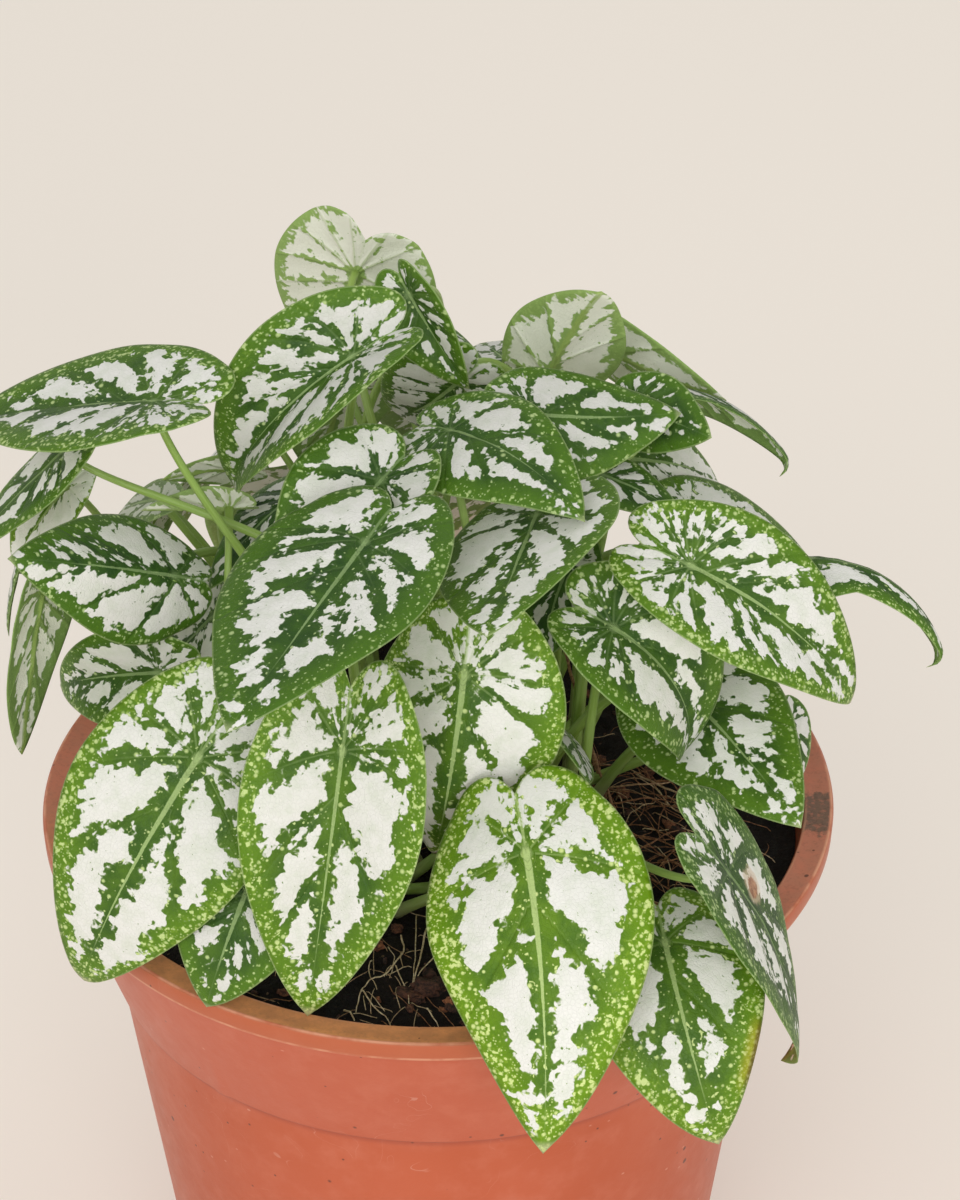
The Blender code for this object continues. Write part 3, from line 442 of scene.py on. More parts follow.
    # fine pale veins, strong near the stalk, and the midrib
    vein_mm = g.math("MULTIPLY", true_vein, length)
    fade = g.math("MULTIPLY", g.step(reach, 0.03, 0.36, 0.42, 0.0), g.math("ADD", 0.2, g.math("MULTIPLY", rib, 0.6)))
    line = g.math("MULTIPLY", g.step(vein_mm, 0.32, 0.08), fade)
    ragged = g.math("MULTIPLY", g.math("SUBTRACT", g.noise(mm, 0.9, 2.0, 0.6), 0.5), 0.5)
    rib_mm = g.math("ADD", g.math("MULTIPLY", av, length), g.math("MULTIPLY", ragged, 0.6))
    rib_half = g.step(u, 0.0, 0.70, g.math("ADD", 0.24, g.math("MULTIPLY", rib, 0.52)), 0.13)
    midrib = g.math("MULTIPLY", g.step(g.math("DIVIDE", rib_mm, rib_half), 1.15, 0.75),
                    g.step(u, g.math("ADD", 0.40, g.math("MULTIPLY", rib, 0.25)), g.math("ADD", 0.62, g.math("MULTIPLY", rib, 0.25)), 1.0, 0.12))
    midrib = g.math("MULTIPLY", midrib, g.step(u, -0.05, 0.01))
    midrib = g.math("MULTIPLY", midrib, g.math("ADD", 0.62, g.math("MULTIPLY", rib, 0.3)))
    ribcol = g.blend(tone, (0.24, 0.36, 0.15), (0.46, 0.60, 0.22))
    colour = g.blend(g.math("MAXIMUM", line, midrib), colour, ribcol)
    eye = g.step(g.math("MULTIPLY", reach, length), 1.6, 0.5)
    colour = g.blend(g.math("MULTIPLY", eye, g.math("ADD", 0.25, g.math("MULTIPLY", rib, 0.5))), colour, ribcol)
    notch = g.math("MULTIPLY", g.step(g.math("MULTIPLY", av, length), 0.45, 0.12), g.step(u, 0.0, -0.05, 0.0, 0.6))
    colour = g.blend(notch, colour, ribcol)
    lace = g.step(g.math("MULTIPLY", edge, length), 0.38, 0.10)
    colour = g.blend(g.math("MULTIPLY", lace, 0.55), colour, (0.36, 0.47, 0.20))

    # scars and yellowed margins of a few leaves
    off = g.math("SQRT", g.math("ADD", g.math("POWER", g.math("SUBTRACT", u, mark_u), 2.0), g.math("POWER", g.math("SUBTRACT", v, mark_v), 2.0)))
    off = g.math("ADD", off, g.math("MULTIPLY", g.math("SUBTRACT", g.noise(mm, 0.35, 3.0, 0.6), 0.5), 0.06))
    halo = g.step(off, g.math("MULTIPLY", mark, 1.7), g.math("MULTIPLY", mark, 1.2))
    scar = g.step(off, mark, g.math("MULTIPLY", mark, 0.75))
    hurt = g.math("GREATER_THAN", mark, 0.005)
    colour = g.blend(g.math("MULTIPLY", g.math("MULTIPLY", halo, hurt), 0.6), colour, (0.66, 0.52, 0.36))
    colour = g.blend(g.math("MULTIPLY", g.math("MULTIPLY", scar, hurt), 0.9), colour,
                     g.blend(g.step(g.noise(mm, 0.7, 3.0, 0.6), 0.35, 0.65), (0.23, 0.085, 0.035), (0.50, 0.25, 0.13)))
    old = g.math("MULTIPLY", g.step(off, g.math("MULTIPLY", mark, -1.0), g.math("MULTIPLY", mark, -0.4)), g.math("LESS_THAN", mark, -0.005))
    colour = g.blend(g.math("MULTIPLY", old, g.step(edge, 0.075, 0.025, 0.0, 0.70)), colour,
                     g.blend(g.step(edge, 0.010, 0.026), (0.20, 0.10, 0.020), (0.38, 0.36, 0.022)))

    # the underside is paler and duller, and its veins stand out; its colours are also made lighter as painted light,
    # for the light that comes through the thin blade
    under = g.blend(0.82, colour, g.blend(is_white, g.blend(tone, (0.22, 0.35, 0.095), (0.42, 0.60, 0.190)), (0.91, 0.93, 0.80)))
    thick = g.math("MULTIPLY", g.step(vein_mm, 0.50, 0.12), g.step(reach, 0.05, 0.6, 0.55, 0.10))
    thick = g.math("MAXIMUM", thick, g.math("MULTIPLY", g.step(g.math("MULTIPLY", av, length), 0.95, 0.5), g.step(u, -0.05, 0.01)))
    under = g.blend(g.math("MULTIPLY", thick, 0.75), under, (0.33, 0.46, 0.12))
    colour = g.blend(side, colour, under)
    colour = g.blend(g.math("MULTIPLY", pale, 0.6), colour, (0.42, 0.50, 0.30))

    rough = g.math("ADD", g.either(side, 0.46, 0.64), g.math("MULTIPLY", g.math("SUBTRACT", cloud, 0.5), 0.16))
    cellnet = g.cells(mm, 1.1, feature="DISTANCE_TO_EDGE")
    height = g.math("ADD", g.math("MULTIPLY", g.step(vein_mm, 0.9, 0.0), g.either(side, -0.8, 0.9)),
                    g.math("MULTIPLY", g.step(cellnet.outputs["Distance"], 0.0, 0.12), 0.22))
    height = g.math("ADD", height, g.math("MULTIPLY", g.noise(mm, 0.5, 3.0, 0.55), 0.7))
    g.bsdf.inputs["Specular IOR Level"].default_value = 0.22
    return g.finish(colour, rough, g.bump(height, 0.55, 0.0004))


def stalk_material():
    g = Graph("caladium_stalk")
    t, around, _ = g.split(g.attr("leaf_uv"))
    tone, _, _ = g.split(g.attr("leaf_look"))
    mm = g.attr("leaf_mm")
    streak = g.noise(mm, 1.0, 3.0, 0.6)
    green = g.blend(tone, (0.170, 0.300, 0.035), (0.350, 0.490, 0.120))
    green = g.blend(g.step(streak, 0.35, 0.7), green, g.blend(tone, (0.240, 0.390, 0.075), (0.430, 0.570, 0.210)))
    colour = g.blend(g.step(t, 0.80, 1.0), green, (0.34, 0.36, 0.17))
    colour = g.blend(g.step(g.noise(mm, 0.5, 2.0, 0.7), 0.62, 0.75, 0.0, 0.35), colour, (0.12, 0.11, 0.03))
    g.bsdf.inputs["Specular IOR Level"].default_value = 0.4
    return g.finish(colour, g.step(streak, 0.3, 0.7, 0.36, 0.5), g.bump(streak, 0.35, 0.0002))


# ------------------------------------------------------------------------ blade


def blade_axes(heading, pitch, roll):
    a, p, r = math.radians(heading), math.radians(pitch), math.radians(roll)
    along = np.array((math.cos(p) * math.cos(a), math.cos(p) * math.sin(a), math.sin(p)))
    up0 = np.array((-math.sin(p) * math.cos(a), -math.sin(p) * math.sin(a), math.cos(p)))
    left0 = np.cross(up0, along)
    up = math.cos(r) * up0 + math.sin(r) * left0
    return along, up, np.cross(up, along)


# one side of the outline, finer than the solids have it, in blade lengths
HALF = ((-0.215, 0.0), (-0.262, 0.028), (-0.298, 0.065), (-0.313, 0.11), (-0.302, 0.16), (-0.268, 0.208), (-0.20, 0.262),
        (-0.10, 0.32), (0.0, 0.358), (0.10, 0.379), (0.20, 0.385), (0.30, 0.373), (0.40, 0.347), (0.50, 0.309),
        (0.60, 0.262), (0.70, 0.210), (0.80, 0.153), (0.88, 0.101), (0.94, 0.055), (0.98, 0.018), (1.0, 0.0))


def smooth_side(count):
    """The half outline through a spline, at even steps along its length."""
    p = np.array(HALF)
    pts = []
    for i in range(len(p) - 1):
        a, b, c, d = p[max(i - 1, 0)], p[i], p[i + 1], p[min(i + 2, len(p) - 1)]
        for t in np.linspace(0, 1, 8, endpoint=False):
            pts.append(0.5 * ((2 * b) + (c - a) * t + (2 * a - 5 * b + 4 * c - d) * t * t
                              + (-a + 3 * b - 3 * c + d) * t ** 3))
    pts.append(p[-1])
    pts = np.array(pts)
    run = np.r_[0, np.cumsum(np.linalg.norm(np.diff(pts, axis=0), axis=1))]
    at = np.linspace(0, run[-1], count)
    return np.c_[np.interp(at, run, pts[:, 0]), np.interp(at, run, pts[:, 1])]


SIDE_POINTS = 54
RINGS = 17
ONE = smooth_side(SIDE_POINTS)
OUTLINE = np.concatenate([ONE, (ONE[::-1] * (1, -1))[1:-1]])       # notch, left side, tip, right side


class Blade:
    def __init__(self, at, heading, pitch, roll, length, width, droop, fold_l, fold_r, arch):
        self.at, self.length, self.width, self.arch = np.array(at, float), length, width, arch
        self.droop = math.radians(droop) or 1e-4
        self.folds = (math.radians(fold_l), math.radians(fold_r))
        self.axes = blade_axes(heading, pitch, roll)

    def points(self, u, v):
        along, up, left = self.axes
        v = v * self.width
        bend = np.where(u >= 0, self.droop, math.radians(10.0) / 0.3)
        turn = bend * u
        run, rise = np.sin(turn) / bend, -(1 - np.cos(turn)) / bend
        fold = np.where(v >= 0, self.folds[0], self.folds[1])
        side = v * np.cos(fold)
        lift = (np.sqrt(v * v + 0.0009) - 0.03) * np.sin(fold) - self.arch * v * v
        lifted = np.sin(turn)[:, None] * along + np.cos(turn)[:, None] * up
        return self.at + self.length * (run[:, None] * along + rise[:, None] * up + side[:, None] * left
                                        + lift[:, None] * lifted)

    def normals(self, u, v, h=0.008):
        n = np.cross(self.points(u + h, v) - self.points(u - h, v), self.points(u, v + h) - self.points(u, v - h))
        return n / np.linalg.norm(n, axis=1, keepdims=True)


def vein_count(u, v, veins):
    """Where a point lies among the veins of one half: whole numbers on the veins, and the gap between the two around it."""
    v = np.abs(v)
    uc = u - VEIN_CURVE * v * v
    offs = []
    for foot, angle in veins:
        a = math.radians(angle)
        offs.append((uc - foot) * math.sin(a) - v * math.cos(a))
    offs = np.array(offs)
    count = offs[0] / 0.22
    gap = np.full_like(count, 0.22)
    for k in range(len(veins) - 1):
        wide = np.maximum(offs[k] - offs[k + 1], 0.004)
        inside = offs[k] > 0
        count = np.where(inside, k + np.clip(offs[k] / wide, 0, 1), count)
        gap = np.where(inside, wide, gap)
    past = offs[-1] > 0
    count = np.where(past, len(veins) - 1 + np.minimum(offs[-1] / 0.6, 0.45), count)
    gap = np.where(past, 0.6, gap)
    return count, gap


def edge_distance(u, v):
    a = OUTLINE
    b = np.roll(OUTLINE, -1, axis=0)
    p = np.c_[u, v][:, None, :]
    ab = (b - a)[None]
    t = np.clip(((p - a[None]) * ab).sum(-1) / (ab ** 2).sum(-1), 0, 1)
    return np.linalg.norm(p - (a[None] + t[..., None] * ab), axis=-1).min(1)


RHO = np.linspace(0, 1, RINGS + 1)[1:] ** 0.9
GRID = np.concatenate([OUTLINE * r for r in RHO])
GRID_EDGE = edge_distance(GRID[:, 0], GRID[:, 1])
GRID_EDGE[-len(OUTLINE):] = 0.0
CENTRE_EDGE = float(edge_distance(np.array([0.0]), np.array([0.0]))[0])


def blade_mesh(blade, veins, trim, curl, rng):
    """Vertices, faces and per-vertex leaf coordinates of a thin closed blade, in millimetres."""
    n = len(OUTLINE)
    u, v = np.r_[0.0, GRID[:, 0]], np.r_[0.0, GRID[:, 1]]
    edge = np.r_[CENTRE_EDGE, GRID_EDGE]
    left, gap_l = vein_count(u, v, veins[0])
    right, gap_r = vein_count(u, v, veins[1])
    gap = np.where(np.abs(v) < 1e-6, 0.5 * (gap_l + gap_r), np.where(v > 0, gap_l, gap_r))
    count = np.where(v > 0, left, right)
    vein = np.abs((count + 20.5) % 1.0 - 0.5) * gap
    rho = np.r_[0.0, np.repeat(RHO, n)]
    # a half that is curled away is narrower to the eye
    part = np.where(v > 0, trim[0], trim[1])
    narrow = v * (1.0 + (part - 1.0) * np.clip((u + 0.1) / 0.35, 0, 1))
    mid, nrm = blade.points(u, narrow), blade.normals(u, narrow)
    length = blade.length
    if curl:
        start, total = curl[0], math.radians(curl[1])
        bent = u > start
        here = np.full(int(bent.sum()), start)
        root, up_ = blade.points(here, narrow[bent]), blade.normals(here, narrow[bent])
        run = blade.points(here + 0.01, narrow[bent]) - blade.points(here - 0.01, narrow[bent])
        run /= np.linalg.norm(run, axis=1, keepdims=True)
        phi = (total * (u[bent] - start) / (1 - start))[:, None]
        radius = (1 - start) * length / total
        mid[bent] = root + radius * (np.sin(phi) * run - (1 - np.cos(phi)) * up_)
        nrm[bent] = np.cos(phi) * up_ + np.sin(phi) * run
    theta = np.arctan2(v, u + 0.12)
    # the blade swells between its veins and its margin waves a little
    swell = 0.52 * (length / 55.0) * np.clip(vein / 0.075, 0, 1) ** 1.3 * np.clip(edge / 0.10, 0, 1)
    wave = np.zeros_like(u)
    for k, amp in ((3, 0.30), (5, 0.26), (8, 0.16), (13, 0.09)):
        wave += amp * np.sin(k * theta + rng.uniform(0, 2 * math.pi))
    wave *= 0.75 * (length / 55.0) * rho ** 3.0
    groove = -0.16 * np.exp(-(v * length / 0.9) ** 2) * np.clip(1.1 - u, 0, 1) * (u > -0.02)
    base = mid + nrm * (swell * 0.7 + wave)[:, None]
    half = 0.20 * np.clip(edge * length / 1.4, 0.0, 1.0) ** 0.5 + 0.045
    ridge = 0.42 * np.exp(-(v * length / 0.75) ** 2) * np.clip(1.0 - u, 0, 1) * (u > -0.01) \
        + 0.16 * np.exp(-(vein * length / 0.55) ** 2) * np.clip(edge / 0.12, 0, 1)
    top = base + nrm * (half + groove)[:, None]
    low = base - nrm * (half + ridge)[:, None]
    faces = []
    m = len(u)
    for s, off in ((0, 0), (1, m)):
        for j in range(n):
            k = (j + 1) % n
            tri = (off, off + 1 + k, off + 1 + j)
            faces.append(tri if s == 0 else tri[::-1])
        for r in range(len(RHO) - 1):
            a = off + 1 + r * n
            for j in range(n):
                k = (j + 1) % n
                q = (a + j, a + k, a + n + k, a + n + j)
                faces.append(q if s == 0 else q[::-1])
    last = 1 + (len(RHO) - 1) * n
    for j in range(n):
        k = (j + 1) % n
        faces.append((last + j, last + k, m + last + k, m + last + j))
    return (np.concatenate([top, low]), faces, np.r_[u, u], np.r_[v, v], np.r_[edge, edge],
            np.r_[np.zeros(m), np.ones(m)], np.tile(np.c_[left, right, gap], (2, 1)))


def tube(line, radii, sides, start_side):
    """A closed tube along a line: vertices and faces."""
    line = np.asarray(line)
    ahead = np.gradient(line, axis=0)
    ahead /= np.linalg.norm(ahead, axis=1, keepdims=True)
    side = start_side - start_side.dot(ahead[0]) * ahead[0]
    side /= np.linalg.norm(side)
    verts, faces = [], []
    for k in range(len(line)):
        side = side - side.dot(ahead[k]) * ahead[k]
        side /= np.linalg.norm(side)
        across = np.cross(ahead[k], side)
        for j in range(sides):
            a = 2 * math.pi * j / sides
            verts.append(line[k] + radii[k] * (math.cos(a) * side + math.sin(a) * across))
    for k in range(len(line) - 1):
        for j in range(sides):
            a, b = k * sides + j, k * sides + (j + 1) % sides
            faces.append((a, b, b + sides, a + sides))
    faces.append(tuple(range(sides))[::-1])
    faces.append(tuple(range((len(line) - 1) * sides, len(line) * sides)))
    return np.array(verts), faces


def set_vectors(mesh, name, values):
    layer = mesh.attributes.new(name, "FLOAT_VECTOR", "POINT")
    layer.data.foreach_set("vector", np.ascontiguousarray(values, np.float32).ravel())


def make_object(name, verts, faces, mats, smooth=True, angle=None):
    mesh = bpy.data.meshes.new(name)
    mesh.from_pydata([tuple(p) for p in np.asarray(verts) * MM], [], faces)
    mesh.validate(clean_customdata=False)
    for m in mats:
        mesh.materials.append(m)
    if smooth:
        mesh.shade_smooth()
        if angle:
            mesh.set_sharp_from_angle(angle=math.radians(angle))
    obj = bpy.data.objects.new(name, mesh)
    bpy.context.scene.collection.objects.link(obj)
    return obj


TRIM = {"leaf_rim_3": (0.76, 0.95), "leaf_right_4": (1.0, 0.5), "leaf_top_7": (0.85, 0.62)}   # width of the left and right half
PALE = {"leaf_inner_3": 0.55, "leaf_inner_1": 0.2}       # young leaves that are still pale


def usual_veins(rng):
    """A vein plan like that of the leaves in front, with small differences of its own."""
    turn = lambda mean, by: mean + rng.uniform(-by, by)
    veins = [(0.0, turn(167, 5)), (0.0, turn(137, 6)), (0.0, turn(79, 7)), (turn(0.16, 0.02), turn(37, 5))]
    if rng.uniform() < 0.5:
        veins.insert(2, (0.0, turn(106, 5)))
    if rng.uniform() < 0.5:
        veins.insert(-1, (0.06, turn(54, 4)))
    if rng.uniform() < 0.6:
        veins.append((turn(0.46, 0.08), turn(28, 5)))
    return veins


def leaf(index, name, at, heading, pitch, roll, length, width, droop, fold_l, fold_r, arch, foot, square, rise, lean):
    rng = np.random.RandomState(100 + index)
    blade = Blade(at, heading, pitch, roll, length, width, droop, fold_l, fold_r, arch)
    veins = VEINS.get(name) or tuple(usual_veins(rng) for _ in "lr")
    verts, faces, u, v, edge, side, among = blade_mesh(blade, veins, TRIM.get(name, (1.0, 1.0)), CURLS.get(name), rng)
    tone, white, rib, specks, painted_light_on_white, band = LOOK.get(name, (
        0.26 + rng.uniform(-0.1, 0.14), rng.uniform(-0.008, 0.004), 0.4, rng.uniform(0.35, 0.7), 0.9, rng.uniform(0.06, 0.085)))
    pale = PALE.get(name, 0.0)
    seed = 11.3 * index + 5.0
    # stalk
    up = blade.axes[1]
    p0 = blade.at - CAD_HALF * up
    p1 = p0 - up * square
    p3 = np.array((foot[0], foot[1], SOIL_TOP + STALK_GAP))
    p2 = p3 + np.array((lean[0], lean[1], rise))
    steps = 34
    t = np.linspace(0, 1, steps)[:, None]
    line = (1 - t) ** 3 * p0 + 3 * (1 - t) ** 2 * t * p1 + 3 * (1 - t) * t * t * p2 + t ** 3 * p3
    line[0] = blade.at - 0.05 * up
    end = line[-1] + (line[-1] - line[-2]) / np.linalg.norm(line[-1] - line[-2]) * 3.0
    line = np.vstack([line, end])
    tt = np.r_[t[:, 0], 1.0]
    radii = 0.70 + 0.62 * tt + 0.50 * np.exp(-tt / 0.022) + 0.35 * np.exp(-(1 - tt) / 0.05)
    radii[0] = 1.1
    sides = 12
    sv, sf = tube(line, radii, sides, -blade.axes[0])
    m = len(verts)
    faces2 = [tuple(i + m for i in f) for f in sf]
    su = np.repeat(tt, sides)
    sa = np.tile(np.arange(sides) / sides, len(tt))
    allv = np.vstack([verts, sv])
    obj = make_object(name + "_leaf", allv, faces + faces2, [BLADE, STALK])
    mesh = obj.data
    mat_index = np.r_[np.zeros(len(faces), int), np.ones(len(faces2), int)]
    mesh.polygons.foreach_set("material_index", mat_index.astype(np.int32))
    set_vectors(mesh, "leaf_uv", np.c_[np.r_[u, su], np.r_[v, sa], np.r_[edge, np.zeros(len(sv))]])
    dist = su * np.linalg.norm(np.diff(line, axis=0), axis=1).sum()
    set_vectors(mesh, "leaf_mm", np.c_[np.r_[u * length, dist * 0.08],
                                       np.r_[v * width * length, np.cos(sa * 2 * math.pi) * 1.6],
                                       np.r_[np.full(m, seed), seed + np.sin(sa * 2 * math.pi) * 1.6]])
    stalk_tone = 0.9 if name == "leaf_front_1" else float(np.clip(0.25 + 0.5 * tone + rng.uniform(-0.1, 0.15), 0, 1))
    set_vectors(mesh, "leaf_look", np.c_[np.r_[np.full(m, tone), np.full(len(sv), stalk_tone)],
                                         np.full(m + len(sv), white), np.r_[side, np.zeros(len(sv))]])
    whole = np.ones(m + len(sv))
    set_vectors(mesh, "leaf_more", np.c_[whole * length, whole * rib, whole * specks])
    set_vectors(mesh, "leaf_vein", np.vstack([among, np.tile((0.5, 0.5, 0.2), (len(sv), 1))]))
    set_vectors(mesh, "leaf_kind", np.c_[whole * painted_light_on_white, whole * band, whole * pale])
    set_vectors(mesh, "leaf_mark", np.tile(MARKS.get(name, (0.0, 0.0, 0.0)), (m + len(sv), 1)))
    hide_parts(name)
    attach(obj, "root")
    return obj


BLADE = blade_material()
STALK = stalk_material()
for i, row in enumerate(LEAVES):
    leaf(i, *row)


# -------------------------------------------------------------------------- pot
POT = (     # (radius, height) in millimetres, from the axis outside, over the lip and back to the axis inside
    (0.0, 0.0), (54.0, 0.0), (58.8, 0.0), (59.6, 0.25), (60.0, 1.0), (60.35, 4.0), (63.2, 30.0), (66.3, 55.0), (69.3, 79.0),
    (71.6, 98.0), (72.0, 101.9), (72.1, 102.4), (72.35, 102.6), (72.95, 102.68), (73.35, 102.95), (73.55, 103.5), (76.6, 113.0), (80.0, 123.0), (83.5, 134.0),
    (83.75, 134.9), (84.1, 135.25), (84.6, 135.38), (85.2, 135.42), (85.65, 135.65), (85.85, 136.1), (86.0, 139.1), (85.85, 139.65), (85.4, 139.97),
    (84.9, 139.98), (83.2, 139.6), (80.9, 139.52), (80.2, 139.6), (79.8, 139.5), (79.45, 139.0), (79.3, 138.0), (79.0, 135.0), (78.6, 131.5), (78.0, 129.0))
POT_INSIDE = ((71.2, 103.5), (70.2, 102.2), (58.2, 2.2), (0.0, 2.2))
DRAINS = [(38.0 * math.cos(math.radians(30 + 60 * i)), 38.0 * math.sin(math.radians(30 + 60 * i)), 4.0) for i in range(6)]


def turned(profile, segments, wobble=None):
    """Solid of revolution from a profile that starts and ends on the axis."""
    verts, faces, rings = [], [], []
    for r, z in profile:
        if r < 1e-6:
            rings.append([len(verts)])
            verts.append((0.0, 0.0, z))
        else:
            rings.append(list(range(len(verts), len(verts) + segments)))
            for j in range(segments):
                a = 2 * math.pi * j / segments
                rr, zz = (r, z) if wobble is None else wobble(r, z, a)
                verts.append((rr * math.cos(a), rr * math.sin(a), zz))
    for a, b in zip(rings, rings[1:]):
        for j in range(segments):
            k = (j + 1) % segments
            if len(a) == 1:
                faces.append((a[0], b[k], b[j]))
            elif len(b) == 1:
                faces.append((a[j], a[k], b[0]))
            else:
                faces.append((a[j], a[k], b[k], b[j]))
    return verts, faces


def pot_wobble(r, z, a):
    """A soft nick in the step and a slight waviness of the moulded lip."""
    if z > 134.0 and r > 79.0:
        z = z + 0.12 * math.sin(2 * a + 0.7) * (z - 134.0) / 6.0
    near = math.radians(232.0)
    if 102.0 < z < 103.6:
        d = (a - near) * r
        r = r + 0.55 * math.exp(-(d / 1.6) ** 2)
    return r, z


def pot_material():
    g = Graph("terracotta_plastic")
    mm = g.vec("SCALE", g.coords(), scale=1000.0)
    xm, ym, zm = g.split(mm)
    r = g.math("SQRT", g.math("ADD", g.math("MULTIPLY", xm, xm), g.math("MULTIPLY", ym, ym)))
    angle = g.math("ARCTAN2", ym, xm)
    drift = g.step(g.noise(mm, 0.022, 2.0, 0.5), 0.3, 0.7)
    base = g.blend(drift, (0.468, 0.088, 0.030), (0.522, 0.112, 0.048))
    base = g.blend(g.step(zm, 96.0, 108.0, 0.0, 0.5), base, (0.530, 0.120, 0.064))
    base = g.blend(g.step(g.noise(mm, 0.13, 4.0, 0.6), 0.42, 0.80, 0.0, 0.45), base, (0.585, 0.170, 0.100))
    base = g.blend(g.step(g.noise(mm, 0.7, 3.0, 0.7), 0.45, 0.8, 0.0, 0.22), base, (0.50, 0.105, 0.05))
    # dark specks of soil, and pale nicks and scratches
    spots = g.cells(mm, 0.17)
    lot = g.split(spots.outputs["Color"])
    speck = g.math("MULTIPLY", g.step(spots.outputs["Distance"], g.step(lot[1], 0.0, 1.0, 0.05, 0.15, smooth=False),
                                      g.step(lot[1], 0.0, 1.0, 0.02, 0.09, smooth=False)),
                   g.math("LESS_THAN", lot[0], 0.26))
    fine = g.cells(mm, 0.6)
    lot2 = g.split(fine.outputs["Color"])
    speck2 = g.math("MULTIPLY", g.step(fine.outputs["Distance"], 0.24, 0.10), g.math("LESS_THAN", lot2[0], 0.03))
    speck = g.math("MULTIPLY", g.math("MAXIMUM", speck, speck2), 0.75)
    nick_at = g.join(g.math("MULTIPLY", angle, 34.0), g.math("MULTIPLY", r, 0.2), g.math("MULTIPLY", zm, 0.75))
    nicks = g.cells(nick_at, 0.42)
    lot3 = g.split(nicks.outputs["Color"])
    nick = g.math("MULTIPLY", g.step(nicks.outputs["Distance"], 0.12, 0.05), g.math("LESS_THAN", lot3[0], 0.16))
    hair = g.step(g.math("ABSOLUTE", g.math("SUBTRACT", g.noise(mm, 0.05, 2.0, 0.5, 1.2), 0.5)), 0.0022, 0.0006)
    hair = g.math("MULTIPLY", hair, g.step(g.noise(mm, 0.04, 2.0, 0.6), 0.56, 0.64))
    base = g.blend(g.math("MULTIPLY", g.math("MAXIMUM", nick, g.math("MULTIPLY", hair, 0.7)), 0.45), base, (0.72, 0.40, 0.31))
    # dust and dried soil on the flat of the lip, most of it in front
    flat = g.math("MULTIPLY", g.step(zm, 139.15, 139.45), g.step(r, 85.45, 85.0))
    front = g.step(g.math("ABSOLUTE", g.math("ADD", angle, 1.85)), 1.35, 0.75)
    dust = g.step(g.noise(mm, 0.20, 4.0, 0.62), 0.28, 0.66)
    clean = g.blend(g.math("MULTIPLY", dust, 0.6), (0.600, 0.205, 0.125), (0.50, 0.205, 0.130))
    brown = g.blend(dust, (0.690, 0.285, 0.104), (0.510, 0.215, 0.084))
    rimcol = g.blend(front, clean, brown)
    dirt = g.step(g.noise(mm, 0.9, 3.0, 0.7), 0.46, 0.74)
    rimcol = g.blend(g.math("MULTIPLY", dirt, 0.22), rimcol, (0.12, 0.065, 0.04))
    stain = g.math("MULTIPLY", g.step(g.math("ABSOLUTE", g.math("ADD", g.math("SUBTRACT", angle, -0.122),
                                      g.math("MULTIPLY", g.math("SUBTRACT", g.noise(mm, 0.32, 4.0, 0.65), 0.5), 0.13))), 0.090, 0.074),
                   g.step(g.noise(mm, 0.8, 3.0, 0.6), 0.30, 0.52, 0.45, 1.0))
    rimcol = g.blend(g.math("MULTIPLY", stain, 0.9), rimcol, g.blend(dirt, (0.175, 0.115, 0.082), (0.105, 0.068, 0.048)))
    colour = g.blend(flat, base, rimcol)
    face = g.math("MULTIPLY", g.step(zm, 135.5, 136.3), g.step(r, 85.2, 85.5))
    colour = g.blend(g.math("MULTIPLY", g.math("MULTIPLY", face, g.math("SUBTRACT", 1.0, flat)), 0.5), colour, (0.430, 0.122, 0.046))
    # painted highlight lines on the two edges of the lip and along its lower corner, painted shade in the crease under
    # the lip, and painted shade in the crease of the step with a painted shadow below it
    lip_top_outer_highlight = g.math("MULTIPLY", g.step(g.math("ABSOLUTE", g.math("SUBTRACT", r, 85.45)), 0.50, 0.12), g.step(zm, 139.3, 139.65))
    lip_top_inner_highlight = g.math("MULTIPLY", g.step(g.math("ABSOLUTE", g.math("SUBTRACT", r, 79.95)), 0.5, 0.15), g.step(zm, 139.0, 139.4))
    lip_lower_highlight = g.math("MULTIPLY", g.step(g.math("ABSOLUTE", g.math("SUBTRACT", zm, 136.05)), 0.50, 0.18), g.step(r, 85.0, 85.4))
    lip_highlights = g.math("MAXIMUM", g.math("MAXIMUM", lip_top_outer_highlight, g.math("MULTIPLY", lip_lower_highlight, 0.85)), g.math("MULTIPLY", lip_top_inner_highlight, 0.6))
    lip_highlights = g.math("MULTIPLY", lip_highlights, g.step(g.noise(mm, 0.16, 3.0, 0.6), 0.32, 0.64, 0.12, 0.85))
    colour = g.blend(lip_highlights, colour, (0.70, 0.33, 0.20))
    # painted shade in the crease just under the lip
    under = g.math("MULTIPLY", g.step(g.math("ABSOLUTE", g.math("SUBTRACT", zm, 134.7)), 0.95, 0.2), g.step(r, 82.0, 83.0))
